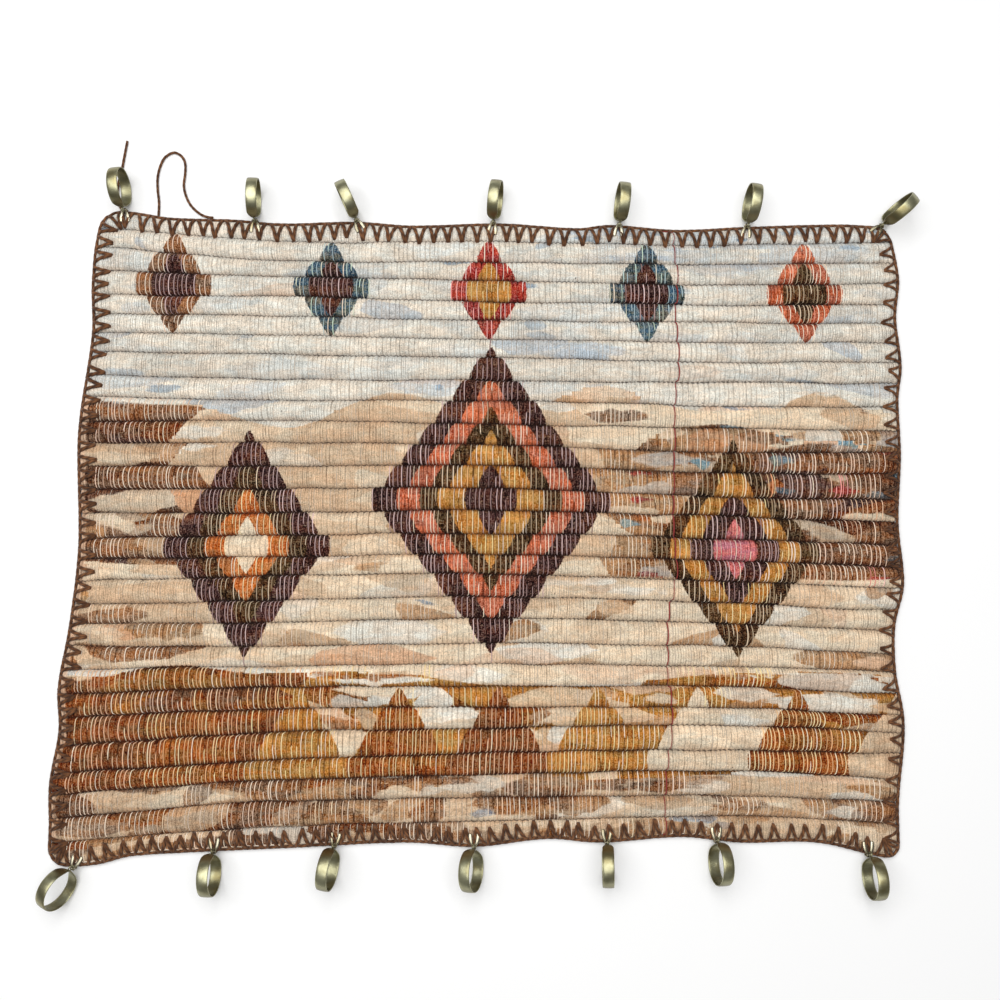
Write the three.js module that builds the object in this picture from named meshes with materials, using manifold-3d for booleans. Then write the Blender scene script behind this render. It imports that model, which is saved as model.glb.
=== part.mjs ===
// A thick hand-woven wool tapestry that lies face up on a flat surface, edged in brown yarn,
// with seven flat curtain rings clipped along its top edge and seven along its bottom edge.
//
// Millimetres, +Z up. +X runs along the ribs and +Y points to the top edge. The finished group
// has its origin on the surface, under the middle of the cloth.

import * as THREE from 'three';
import { mergeVertices } from 'three/addons/utils/BufferGeometryUtils.js';
import Module from 'manifold-3d';

const wasm = await Module();
wasm.setup();

// ---------------------------------------------------------------- driving dimensions

const CLOTH_MIDDLE = { x: -10, y: -20 };       // the cloth's middle, in the tables' coordinates
const GAP = 0.3;                               // air between pieces that touch

const EDGE_YARN = { diameter: 3, z: 2.9 };
const CORNER_RUN = 12;                         // the edging's close steps reach this far
const LOOSE_YARN = { diameter: 2.4, z: 1.3, sides: 8, step: 5 };

const COLUMNS = 17;                            // stations along a rib
const RIM = { share: 0.012, taper: 0.35, z: 3.3 };

const RING = {
  radius: 17.5,                                // outside
  wall: 1.2,
  width: 9.5,
  sections: 20,
  neckWidth: 4,                                // the band narrows to this at the eyelet
  neckReach: 42,                               // degrees either side of the eyelet
  eyeletAngle: 20,                             // degrees below level, on the cloth's side
  eyeletRadius: 2.3,
  wire: 0.55,                                  // radius of the eyelet's wire
  standOff: 16.2,                              // ring centre to the cloth's outer edge
};

const CLIP = {
  sheet: 0.7,
  frontZ: 6.75,                                // underside of the front prongs
  backZ: 0.35,                                 // underside of the back jaw
  heelWidth: 4,
  prongReach: 12,
  prongSpread: 4.8,                            // half of the prongs' overall width
  prongSlot: 1.6,                              // half of the gap between the prongs
  backReach: 8,
  loopTop: 11.35,                              // height of the loop that holds the eyelet
  loopRadius: 2.3,
  loopWire: 0.4,
};

// ---------------------------------------------------------------- tables

// Height of the cloth's face and underside by how far across a rib the point is, from 0 at the
// valley above the rib to 1 at the valley below it.
const RIB_SECTION = [
  { across: 0.00, face: 3.3, under: 1.2 },
  { across: 0.24, face: 6.9, under: 0.0 },
  { across: 0.76, face: 6.9, under: 0.0 },
];

// The first and last ribs are pressed by the edging and lifted off the surface along the edge.
const EDGE_RIB_SECTION = [
  { across: 0.00, face: 4.6, under: 2.2 },
  { across: 0.08, face: 5.2, under: 1.8 },
  { across: 0.24, face: 5.9, under: 1.5 },
  { across: 0.44, face: 6.3, under: 1.5 },
  { across: 0.74, face: 6.3, under: 0.0 },
];

// The outer edge, over the edging yarn.
const TOP_EDGE = [
  { x: -362, y: 266 }, { x: -335, y: 264 }, { x: -300, y: 258.5 }, { x: -240, y: 256.5 },
  { x: -200, y: 253 }, { x: -130, y: 254.5 }, { x: -80, y: 251 }, { x: 0, y: 253 }, { x: 70, y: 248.5 },
  { x: 100, y: 251.5 }, { x: 160, y: 247 }, { x: 230, y: 250 }, { x: 310, y: 252 },
  { x: 340, y: 250.5 }, { x: 357, y: 250 },
];
const BOTTOM_EDGE = [
  { x: -386, y: -315 }, { x: -345, y: -313 }, { x: -315, y: -306 }, { x: -260, y: -302.5 },
  { x: -180, y: -299 }, { x: -80, y: -294.5 }, { x: -22, y: -298 }, { x: 40, y: -291.5 },
  { x: 85, y: -294.5 }, { x: 155, y: -290 }, { x: 205, y: -294.5 }, { x: 270, y: -294.5 },
  { x: 325, y: -306.5 }, { x: 341, y: -307 },
];
const LEFT_EDGE = [
  { y: -315, x: -386 }, { y: -285, x: -385.5 }, { y: -245, x: -387 }, { y: -200, x: -381 },
  { y: -165, x: -383.5 }, { y: -110, x: -376 }, { y: -40, x: -371 }, { y: 60, x: -375.5 },
  { y: 150, x: -367 }, { y: 192, x: -369 }, { y: 228, x: -368 }, { y: 266, x: -362 },
];
const RIGHT_EDGE = [
  { y: -307, x: 341 }, { y: -260, x: 342 }, { y: -195, x: 349.5 }, { y: -150, x: 344 },
  { y: -110, x: 345 }, { y: -75, x: 354 }, { y: -20, x: 351.5 }, { y: 40, x: 356 },
  { y: 90, x: 356 }, { y: 120, x: 360 }, { y: 165, x: 357 }, { y: 200, x: 361 },
  { y: 240, x: 356 }, { y: 250, x: 357 },
];
const CORNER_RADIUS = { topLeft: 18, topRight: 18, bottomLeft: 18, bottomRight: 11 };

// The valley under each of the first 28 ribs: its height up the cloth at five stations.
const VALLEY_STATIONS = [-345, -200, 0, 200, 335];
const VALLEYS = [
  [247, 235.5, 235, 232, 235],
  [229, 217.5, 216, 214, 215.5],
  [208, 203, 199, 194.5, 196.5],
  [186, 184, 179, 176, 176],
  [168, 166, 162, 160, 159],
  [150.5, 148.5, 144.5, 142, 141.5],
  [133, 131, 127.5, 124, 123.5],
  [112, 108, 107, 105, 104.5],
  [92, 89, 88.5, 83.5, 82.5],
  [70, 71, 67, 64, 61],
  [51, 51, 48.5, 42.5, 42.5],
  [30, 30, 30, 23.5, 23],
  [9, 9.5, 10, 2, 0],
  [-12, -12, -9.5, -15, -20],
  [-34.5, -31.5, -30, -35, -39.5],
  [-52, -50.5, -48.5, -54.5, -58.5],
  [-71, -67.5, -65.5, -72, -77],
  [-91, -89, -85.5, -91.5, -97],
  [-108.5, -108, -104, -109, -115],
  [-128, -128, -125.5, -128.5, -134.5],
  [-147.5, -145.5, -143.5, -145.5, -150],
  [-168, -163.5, -162.5, -163, -169],
  [-188, -182, -180.5, -181, -186.5],
  [-211, -202, -198, -195.5, -202],
  [-234, -225.5, -218.5, -217, -219.5],
  [-252, -242, -237.5, -234, -241.5],
  [-271.5, -260, -256.5, -255, -260],
  [-291, -281, -276.5, -272, -278.5],
];

// Where each clip bites: its place along the edge, how far it is turned from straight out
// (degrees, anticlockwise from above) and how far its ring leans over (degrees).
const TOP_CLIPS = [
  { x: -341, turn: 4, lean: -3 },
  { x: -222, turn: 0, lean: 5 },
  { x: -130, turn: 25, lean: 0 },
  { x: -6, turn: -8, lean: -5 },
  { x: 108, turn: -5, lean: 4 },
  { x: 224, turn: -8, lean: 3 },
  { x: 345.5, turn: -46, lean: 11 },
];
const BOTTOM_CLIPS = [
  { x: -362, turn: -22, lean: 21 },
  { x: -243, turn: 0, lean: 5 },
  { x: -141, turn: -8, lean: 9 },
  { x: -22, turn: 0, lean: 20 },
  { x: 91, turn: 0, lean: 4 },
  { x: 184, turn: 0, lean: -11 },
  { x: 313, turn: 2, lean: -4 },
];

// Slack yarn that lies on the surface past the top edge.
const YARN_LOOP_ROUTE = [
  [-261.5, 258.8], [-266.5, 259.4], [-271.5, 261.2], [-277, 265], [-282.5, 270.8], [-287, 279.5],
  [-289.3, 289.5], [-288.5, 300], [-288.8, 310.5], [-292.3, 317.3], [-299.3, 320.8], [-307.3, 316.3],
  [-311.5, 307.5], [-313.5, 297], [-313, 285], [-311.4, 273], [-311.4, 260.9],
];
const YARN_TAIL_ROUTE = [
  [-344.9, 265.2], [-345.6, 267.2], [-346.9, 269.2], [-348.3, 271.2], [-349.2, 274], [-349.5, 277.5],
  [-349.6, 281], [-349.6, 284.5], [-349.5, 288], [-349.2, 291.5], [-348.7, 295], [-348, 298.5],
  [-347.2, 302], [-346.3, 306], [-345.6, 311], [-344.9, 316], [-344.1, 321.5], [-343.3, 327],
  [-342.6, 331.8],
];

// ---------------------------------------------------------------- materials

const wool = new THREE.MeshStandardMaterial({ color: 0xcbb69b, roughness: 0.95, metalness: 0 });
const brownYarn = new THREE.MeshStandardMaterial({ color: 0x5a3420, roughness: 0.9, metalness: 0 });
const agedNickel = new THREE.MeshStandardMaterial({ color: 0xa9a487, roughness: 0.35, metalness: 1 });
const brightNickel = new THREE.MeshStandardMaterial({ color: 0xd6d3c4, roughness: 0.25, metalness: 1 });

// ---------------------------------------------------------------- curves

const lerp = THREE.MathUtils.lerp;
const radians = THREE.MathUtils.degToRad;

// A smooth curve through knots (at, value), carried on in a straight line past its ends.
function curveThrough(at, value) {
  const last = at.length - 1;
  const slope = at.map((_, i) => {
    const a = Math.max(i - 1, 0);
    const b = Math.min(i + 1, last);
    return (value[b] - value[a]) / (at[b] - at[a]);
  });
  return (t) => {
    if (t <= at[0]) return value[0] + slope[0] * (t - at[0]);
    if (t >= at[last]) return value[last] + slope[last] * (t - at[last]);
    const i = at.findIndex((knot, k) => k < last && t < at[k + 1]);
    const span = at[i + 1] - at[i];
    const s = (t - at[i]) / span;
    const rise = value[i + 1] - value[i];
    return value[i] + s * s * (3 - 2 * s) * rise
      + s * (1 - s) * (1 - s) * span * slope[i] - s * s * (1 - s) * span * slope[i + 1];
  };
}

const column = (table, key) => table.map((row) => row[key]);
const topLine = curveThrough(column(TOP_EDGE, 'x'), column(TOP_EDGE, 'y'));
const bottomLine = curveThrough(column(BOTTOM_EDGE, 'x'), column(BOTTOM_EDGE, 'y'));
const leftLine = curveThrough(column(LEFT_EDGE, 'y'), column(LEFT_EDGE, 'x'));
const rightLine = curveThrough(column(RIGHT_EDGE, 'y'), column(RIGHT_EDGE, 'x'));
const valleyLines = VALLEYS.map((heights) => curveThrough(VALLEY_STATIONS, heights));

// Where an upright edge meets a level one.
function cornerOf(upright, level, y) {
  let corner = { x: upright(y), y };
  for (let i = 0; i < 5; i++) {
    corner = { x: upright(level(corner.x)), y: level(corner.x) };
  }
  return corner;
}
const CORNERS = {
  topLeft: cornerOf(leftLine, topLine, 266),
  topRight: cornerOf(rightLine, topLine, 250),
  bottomLeft: cornerOf(leftLine, bottomLine, -315),
  bottomRight: cornerOf(rightLine, bottomLine, -307),
};

// How far a rounded corner draws the edge in, at this distance from the corner.
function cornerInset(corner, distance, inset) {
  const radius = CORNER_RADIUS[corner] - inset;
  const across = THREE.MathUtils.clamp(radius - (distance - inset), 0, radius);
  return radius - Math.sqrt(radius * radius - across * across);
}

// The outline's four sides, drawn in by the same inset all round.
function leftSide(y, inset) {
  return leftLine(y) + inset
    + cornerInset('topLeft', CORNERS.topLeft.y - y, inset)
    + cornerInset('bottomLeft', y - CORNERS.bottomLeft.y, inset);
}
function rightSide(y, inset) {
  return rightLine(y) - inset
    - cornerInset('topRight', CORNERS.topRight.y - y, inset)
    - cornerInset('bottomRight', y - CORNERS.bottomRight.y, inset);
}
function topSide(x, inset) {
  return topLine(x) - inset
    - cornerInset('topLeft', x - CORNERS.topLeft.x, inset)
    - cornerInset('topRight', CORNERS.topRight.x - x, inset);
}
function bottomSide(x, inset) {
  return bottomLine(x) + inset
    + cornerInset('bottomLeft', x - CORNERS.bottomLeft.x, inset)
    + cornerInset('bottomRight', CORNERS.bottomRight.x - x, inset);
}

// ---------------------------------------------------------------- geometry helpers

function meshGeometry(points, triangles) {
  const geometry = new THREE.BufferGeometry();
  geometry.setAttribute('position', new THREE.Float32BufferAttribute(points.flat(), 3));
  geometry.setIndex(triangles.flat());
  return geometry;
}

function toManifold(geometry) {
  const bare = geometry.clone();
  bare.deleteAttribute('normal');
  bare.deleteAttribute('uv');
  const merged = mergeVertices(bare, 1e-4);
  return new wasm.Manifold(new wasm.Mesh({
    numProp: 3,
    vertProperties: new Float32Array(merged.attributes.position.array),
    triVerts: new Uint32Array(merged.index.array),
  }));
}

function joined(...geometries) {
  const whole = geometries.map(toManifold).reduce((sum, solid) => sum.add(solid));
  const { vertProperties, triVerts } = whole.getMesh();
  const geometry = new THREE.BufferGeometry();
  geometry.setAttribute('position', new THREE.BufferAttribute(new Float32Array(vertProperties), 3));
  geometry.setIndex(new THREE.BufferAttribute(new Uint32Array(triVerts), 1));
  return geometry;
}

function tube(route, z, diameter, sides, step) {
  const path = new THREE.CatmullRomCurve3(route.map(([x, y]) => new THREE.Vector3(x, y, z)));
  const section = new THREE.Shape();
  for (let i = 0; i < sides; i++) {
    const angle = (2 * Math.PI * i) / sides;
    const corner = [Math.cos(angle) * diameter / 2, Math.sin(angle) * diameter / 2];
    if (i === 0) section.moveTo(...corner);
    else section.lineTo(...corner);
  }
  const steps = Math.ceil(path.getLength() / step);
  return new THREE.ExtrudeGeometry(section, { steps, extrudePath: path });
}

// A closed tube with one six-sided section at each point of the route, flat towards its sides.
function beadThrough(route, z, diameter) {
  const sides = 6;
  const points = [];
  const triangles = [];
  route.forEach(([x, y], i) => {
    const [ax, ay] = route[Math.max(i - 1, 0)];
    const [bx, by] = route[Math.min(i + 1, route.length - 1)];
    const length = Math.hypot(bx - ax, by - ay);
    const across = [(by - ay) / length, (ax - bx) / length];
    for (let k = 0; k < sides; k++) {
      const angle = (2 * Math.PI * (k + 0.5)) / sides;
      const out = Math.cos(angle) * diameter / 2;
      points.push([x + across[0] * out, y + across[1] * out, z + Math.sin(angle) * diameter / 2]);
    }
  });
  const last = points.length - sides;
  for (let k = 0; k < sides; k++) {
    const l = (k + 1) % sides;
    for (let i = 0; i < last; i += sides) {
      triangles.push([i + k, i + sides + k, i + sides + l], [i + k, i + sides + l, i + l]);
    }
    if (k > 1) triangles.push([0, k - 1, k], [last, last + k, last + k - 1]);
  }
  return meshGeometry(points, triangles);
}

function block(low, high) {
  const box = new THREE.BoxGeometry(high[0] - low[0], high[1] - low[1], high[2] - low[2]);
  return box.translate((low[0] + high[0]) / 2, (low[1] + high[1]) / 2, (low[2] + high[2]) / 2);
}

// ---------------------------------------------------------------- cloth

// Small swells and dips of the hand-spun weft, in millimetres of height.
function unevenness(rib, x) {
  return 0.25 * Math.sin(x / 37 + rib * 2.1) + 0.2 * Math.sin(x / 83 + rib * 4.7);
}

// Every row of the cloth's grid, from the top edge down.
function clothRows() {
  const inset = EDGE_YARN.diameter + GAP;
  const lines = [
    (x) => topSide(x, inset),
    ...valleyLines,
    (x) => bottomSide(x, inset),
  ];
  const ribs = lines.length - 1;
  const rows = [];
  for (let rib = 0; rib < ribs; rib++) {
    const heightAt = (x, across) => lerp(lines[rib](x), lines[rib + 1](x), across);
    let section = RIB_SECTION;
    if (rib === 0) section = EDGE_RIB_SECTION;
    if (rib === ribs - 1) section = [RIB_SECTION[0], ...mirrored(EDGE_RIB_SECTION)];
    for (const { across, face, under } of section) {
      rows.push({ rib, across, face, under, heightAt: (x) => heightAt(x, across) });
    }
  }
  return rows;
}

const mirrored = (section) => section.map((row) => ({ ...row, across: 1 - row.across })).reverse();

// The two ends of a row lie on the side edges.
function rowEnd(row, side, inset) {
  let x = side(row.heightAt(0), inset);
  for (let i = 0; i < 4; i++) x = side(row.heightAt(x), inset);
  return x;
}

// Where the columns cross a row, from its left end to its right end.
function rowStations(row) {
  const inset = EDGE_YARN.diameter + GAP;
  const left = rowEnd(row, leftSide, inset);
  const right = rowEnd(row, rightSide, inset);
  return Array.from({ length: COLUMNS }, (_, c) => {
    if (c === 0) return left;
    if (c === COLUMNS - 1) return right;
    return lerp(left, right, lerp(RIM.share, 1 - RIM.share, (c - 1) / (COLUMNS - 3)));
  });
}

function clothGeometry() {
  const face = [];
  const under = [];
  const rows = clothRows();
  for (const row of rows) {
    rowStations(row).forEach((x, c) => {
      const y = row.heightAt(x);
      const onCrest = row.face === RIB_SECTION[1].face;
      const swell = onCrest ? unevenness(row.rib, x) : 0;
      const taper = c === 0 || c === COLUMNS - 1 ? RIM.taper : 1;
      face.push([x, y, lerp(RIM.z, row.face + swell, taper)]);
      under.push([x, y, lerp(RIM.z, row.under, taper)]);
    });
  }
  const count = face.length;
  const triangles = [];
  const quad = (a, b, c, d) => triangles.push([a, b, c], [a, c, d]);
  for (let r = 0; r < rows.length - 1; r++) {
    for (let c = 0; c < COLUMNS - 1; c++) {
      const i = r * COLUMNS + c;
      const below = i + COLUMNS;
      quad(i, below, below + 1, i + 1);
      quad(count + i, count + i + 1, count + below + 1, count + below);
    }
    const west = r * COLUMNS;
    const east = west + COLUMNS - 1;
    quad(west, count + west, count + west + COLUMNS, west + COLUMNS);
    quad(east, east + COLUMNS, count + east + COLUMNS, count + east);
  }
  for (let c = 0; c < COLUMNS - 1; c++) {
    const low = (rows.length - 1) * COLUMNS + c;
    quad(c, c + 1, count + c + 1, count + c);
    quad(low, count + low, count + low + 1, low + 1);
  }
  return meshGeometry([...face, ...under], triangles);
}

// ---------------------------------------------------------------- edging yarn

// Heights of the valleys' and ribs' ends on a side edge, from the lowest up.
function valleyEnds(rows, side) {
  const ends = rows.filter((row) => row.across === 0)
    .map((row) => row.heightAt(rowEnd(row, side, EDGE_YARN.diameter + GAP)))
    .reverse();
  return ends.flatMap((y, i) => (i > 0 ? [(ends[i - 1] + y) / 2, y] : [y]));
}

// A run of edging yarn on each side, its ends halfway round the rounded corners. Its stations
// are the cloth's own: the columns along the top and bottom, the ribs' ends up the sides.
function edgingRoute(side) {
  const inset = EDGE_YARN.diameter / 2;
  const halfway = 1 - Math.SQRT1_2;
  const level = side === 'top' || side === 'bottom';
  const [first, last] = {
    top: ['topLeft', 'topRight'],
    bottom: ['bottomLeft', 'bottomRight'],
    left: ['bottomLeft', 'topLeft'],
    right: ['bottomRight', 'topRight'],
  }[side];
  const axis = level ? 'x' : 'y';
  const from = CORNERS[first][axis] + inset + halfway * (CORNER_RADIUS[first] - inset) + 2 * GAP;
  const to = CORNERS[last][axis] - inset - halfway * (CORNER_RADIUS[last] - inset) - 2 * GAP;
  const place = { top: topSide, bottom: bottomSide, left: leftSide, right: rightSide }[side];
  const rows = clothRows();
  const stations = {
    top: () => rowStations(rows[0]).slice(1, -1),
    bottom: () => rowStations(rows[rows.length - 1]).slice(1, -1),
    left: () => valleyEnds(rows, leftSide),
    right: () => valleyEnds(rows, rightSide),
  }[side]();
  const between = stations.filter((at) => at > from + CORNER_RUN && at < to - CORNER_RUN);
  const bend = [0, 0.3, 0.65, 1].map((share) => share * CORNER_RUN);
  const marks = [
    ...bend.map((step) => from + step),
    ...between,
    ...bend.map((step) => to - step).reverse(),
  ];
  return marks.map((at) => (level ? [at, place(at, inset)] : [place(at, inset), at]));
}

// ---------------------------------------------------------------- ring

// A flat band bent into a ring round the local X axis, narrowing to a neck where its eyelet is.
// Its origin is the eyelet's centre, and it stands up with the eyelet towards -Y.
function ringGeometry() {
  const eyelet = radians(180 + RING.eyeletAngle);
  const reach = RING.radius + RING.eyeletRadius - RING.wall / 2;
  const centre = [-Math.cos(eyelet) * reach, -Math.sin(eyelet) * reach];
  const points = [];
  const triangles = [];
  for (let i = 0; i < RING.sections; i++) {
    const angle = (2 * Math.PI * (i + 0.5)) / RING.sections - Math.PI / 2;
    const toEyelet = THREE.MathUtils.euclideanModulo(eyelet - angle, 2 * Math.PI);
    const apart = Math.min(toEyelet, 2 * Math.PI - toEyelet);
    const opening = THREE.MathUtils.smoothstep(apart, 0, radians(RING.neckReach));
    const half = lerp(RING.neckWidth, RING.width, opening) / 2;
    for (const [radius, x] of [
      [RING.radius, -half], [RING.radius, half],
      [RING.radius - RING.wall, half], [RING.radius - RING.wall, -half],
    ]) {
      points.push([x, centre[0] + Math.cos(angle) * radius, centre[1] + Math.sin(angle) * radius]);
    }
  }
  for (let i = 0; i < RING.sections; i++) {
    const here = 4 * i;
    const next = 4 * ((i + 1) % RING.sections);
    for (let k = 0; k < 4; k++) {
      const l = (k + 1) % 4;
      triangles.push([here + k, next + l, here + l], [here + k, next + k, next + l]);
    }
  }
  const band = meshGeometry(points, triangles);
  const eye = new THREE.TorusGeometry(RING.eyeletRadius, RING.wire, 4, 8).rotateY(Math.PI / 2);
  return joined(band, eye);
}

// Height of an upright ring's eyelet over the surface it stands on.
const EYELET_Z = RING.radius * Math.cos(Math.PI / RING.sections)
  - (RING.radius + RING.eyeletRadius - RING.wall / 2) * Math.sin(radians(RING.eyeletAngle));
// How far the eyelet is from the ring's centre, along the surface.
const EYELET_Y = (RING.radius + RING.eyeletRadius - RING.wall / 2)
  * Math.cos(radians(RING.eyeletAngle));

// A leaning ring stands on one edge of its band.
const leaningEyeletZ = (lean) =>
  EYELET_Z * Math.cos(lean) + (RING.width / 2) * Math.sin(Math.abs(lean));

// ---------------------------------------------------------------- clip

// Two prongs that fork from a neck, a heel round the cloth's edge and a plain jaw under it.
// Its origin is on the surface under the cloth's outer edge, and it bites towards -Y.
function clipGeometry() {
  const { sheet, frontZ, backZ, heelWidth, prongReach, prongSpread, prongSlot } = CLIP;
  const neck = heelWidth / 2;
  const heel = GAP + sheet;
  const side = [
    [neck, heel], [neck, -2.5], [prongSpread, -5.5], [prongSpread, -prongReach],
    [prongSlot, -prongReach], [prongSlot, -5.5],
  ];
  const outline = [...side, ...side.map(([x, y]) => [-x, y]).reverse()];
  const fork = new THREE.ExtrudeGeometry(
    new THREE.Shape(outline.map(([x, y]) => new THREE.Vector2(x, y))),
    { depth: sheet, bevelEnabled: false },
  ).translate(0, 0, frontZ);
  const back = block([-neck, GAP, backZ], [neck, heel, frontZ + sheet]);
  const jaw = block([-neck, -CLIP.backReach, backZ], [neck, heel, backZ + sheet]);
  const loop = new THREE.TorusGeometry(CLIP.loopRadius, CLIP.loopWire, 4, 8)
    .rotateX(Math.PI / 2)
    .translate(0, RING.standOff - EYELET_Y, CLIP.loopTop - CLIP.loopRadius);
  return joined(fork, back, jaw, loop);
}

// ---------------------------------------------------------------- assembly

const tapestry = new THREE.Group();
tapestry.position.set(-CLOTH_MIDDLE.x, -CLOTH_MIDDLE.y, 0);

function add(name, geometry, material, parent = tapestry) {
  const mesh = new THREE.Mesh(geometry, material);
  mesh.name = name;
  parent.add(mesh);
  return mesh;
}

add('cloth', clothGeometry(), wool);

for (const side of ['top', 'right', 'bottom', 'left']) {
  const { z, diameter } = EDGE_YARN;
  add(`edge_yarn_${side}`, beadThrough(edgingRoute(side), z, diameter), brownYarn);
}

for (const [name, route] of [['yarn_loop', YARN_LOOP_ROUTE], ['yarn_tail', YARN_TAIL_ROUTE]]) {
  const { z, diameter, sides, step } = LOOSE_YARN;
  add(name, tube(route, z, diameter, sides, step), brownYarn);
}

const ringShape = ringGeometry();
const clipShape = clipGeometry();

// A clip that isn't square to the edge is moved out until the side of its heel clears it.
function addClipRing(edge, number, { x, turn, lean }) {
  const side = edge === 'top' ? topSide : bottomSide;
  const slope = Math.atan2(side(x + 1, 0) - side(x - 1, 0), 2);
  const clearance = (CLIP.heelWidth / 2) * Math.tan(Math.abs(radians(turn) - slope));
  const place = new THREE.Group();
  place.rotation.z = radians(turn) + (edge === 'top' ? 0 : Math.PI);
  place.position.set(0, clearance, 0).applyEuler(place.rotation);
  place.position.add(new THREE.Vector3(x, side(x, 0), 0));
  tapestry.add(place);
  add(`clip_${edge}_${number}`, clipShape.clone(), brightNickel, place);
  const ring = add(`ring_${edge}_${number}`, ringShape.clone(), agedNickel, place);
  ring.position.set(0, RING.standOff - EYELET_Y, leaningEyeletZ(radians(lean)));
  ring.rotation.y = radians(lean);
}

TOP_CLIPS.forEach((clip, i) => addClipRing('top', i + 1, clip));
BOTTOM_CLIPS.forEach((clip, i) => addClipRing('bottom', i + 1, clip));

export default tapestry;
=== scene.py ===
"""A thick hand-woven wool tapestry, lying face up, edged in brown yarn and clipped to flat rings.

Shapes are worked out in millimetres in the same coordinates as the CAD model's tables, and moved
into the frame as each mesh is made. +X runs along the ribs and +Y points to the top edge.
"""

import functools
import math
from collections import namedtuple
from types import SimpleNamespace

import bpy
import numpy as np
from mathutils import Matrix, Vector


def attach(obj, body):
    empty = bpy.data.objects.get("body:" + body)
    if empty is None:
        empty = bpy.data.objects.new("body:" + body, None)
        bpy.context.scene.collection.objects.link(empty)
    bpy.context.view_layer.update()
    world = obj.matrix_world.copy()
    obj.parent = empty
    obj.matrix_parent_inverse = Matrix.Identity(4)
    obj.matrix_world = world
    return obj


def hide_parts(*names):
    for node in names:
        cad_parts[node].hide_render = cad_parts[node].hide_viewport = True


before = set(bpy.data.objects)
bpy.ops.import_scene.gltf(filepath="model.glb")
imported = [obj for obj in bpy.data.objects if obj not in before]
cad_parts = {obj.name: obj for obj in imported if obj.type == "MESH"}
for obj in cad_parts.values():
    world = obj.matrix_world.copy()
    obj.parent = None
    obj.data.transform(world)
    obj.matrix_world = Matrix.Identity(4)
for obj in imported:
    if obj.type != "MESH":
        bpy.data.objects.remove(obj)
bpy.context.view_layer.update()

# ---- driving dimensions, in mm

MM = 0.001
CLOTH_MIDDLE = (-10.0, -20.0)

WARPS = 361                       # warp threads across the cloth
RED_WARP = 265                    # this one and the next are dyed red
ROWS_ACROSS = (0, 0.055, 0.15, 0.30, 0.50, 0.70, 0.85, 0.945)
BACK_ROWS, BACK_COLUMNS = 2, 4    # the underside keeps every second row and fourth column
WOOL_INSET = 2.9                  # the wool starts this far inside the outline
VALLEY_FACE, VALLEY_BACK = 2.7, 1.5
CREST, OUTER_CREST = 6.9, 6.4     # the outermost ribs are pressed down by the stitches
BACK_CREST = 0.3                  # the wool's lowest line, between the warps that it lies on
RIM, BACK_RIM = 3.5, 2.9          # where the face and the underside turn over into each other
ROLL_WIDTH, ROLL_FOOT, ROLL_RISE = 0.45, 3.9, 2.5   # how the outermost ribs round over
PILLOW = 0.36                     # half the height between a pillow and a groove
ZIGZAG = 0.45                     # how far a pillow pushes into the next rib
DENT, DENT_REACH = 1.9, 2.3       # how deep a stitch presses the wool, and how far to its sides

THREAD = 1.05                     # diameter of a warp thread
RED_APART, RED_PROUD = 1.0, 0.7   # the red pair lies closer together and higher
EDGE_YARN = SimpleNamespace(diameter=3.0, z=2.9, pitch=6.5)
STITCH_YARN = SimpleNamespace(diameter=3.0, pitch=6.0)
LOOSE_YARN = SimpleNamespace(diameter=2.4, z=1.3, pitch=5.0)

RING = SimpleNamespace(radius=17.5, wall=1.2, width=9.5, neck=4.0, neck_reach=42, eyelet_angle=20,
                       eyelet_radius=2.3, wire=0.55, stand_off=16.2, turns=120,
                       sections=20)      # the CAD ring's, which set how high it stands
CLIP = SimpleNamespace(sheet=0.7, front=6.75, back=0.35, reach=12.0, back_reach=8.0,
                       jaw=3.8, loop_top=11.35, loop_radius=2.3, wire=0.4)
EYE_TURNS, EYE_SIDES = 32, 10

# ---- tables, as in the CAD model

# Each edge of the outline: knots along it, where its line runs at each, which way is inward, and
# its corners, from the left or the bottom.
EDGES = {
    "top": SimpleNamespace(
        axis=0, inward=-1, corners=("top_left", "top_right"),
        at=(-362, -335, -300, -240, -200, -130, -80, 0, 70, 100, 160, 230, 310, 340, 357),
        line=(266, 264, 258.5, 256.5, 253, 254.5, 251, 253, 248.5, 251.5, 247, 250, 252, 250.5,
              250)),
    "bottom": SimpleNamespace(
        axis=0, inward=1, corners=("bottom_left", "bottom_right"),
        at=(-386, -345, -315, -260, -180, -80, -22, 40, 85, 155, 205, 270, 325, 341),
        line=(-315, -313, -306, -302.5, -299, -294.5, -298, -291.5, -294.5, -290, -294.5, -294.5,
              -306.5, -307)),
    "left": SimpleNamespace(
        axis=1, inward=1, corners=("bottom_left", "top_left"),
        at=(-315, -285, -245, -200, -165, -110, -40, 60, 150, 192, 228, 266),
        line=(-386, -385.5, -387, -381, -383.5, -376, -371, -375.5, -367, -369, -368, -362)),
    "right": SimpleNamespace(
        axis=1, inward=-1, corners=("bottom_right", "top_right"),
        at=(-307, -260, -195, -150, -110, -75, -20, 40, 90, 120, 165, 200, 240, 250),
        line=(341, 342, 349.5, 344, 345, 354, 351.5, 356, 356, 360, 357, 361, 356, 357)),
}
CORNER_RADIUS = {"top_left": 18, "top_right": 18, "bottom_left": 18, "bottom_right": 11}

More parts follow.
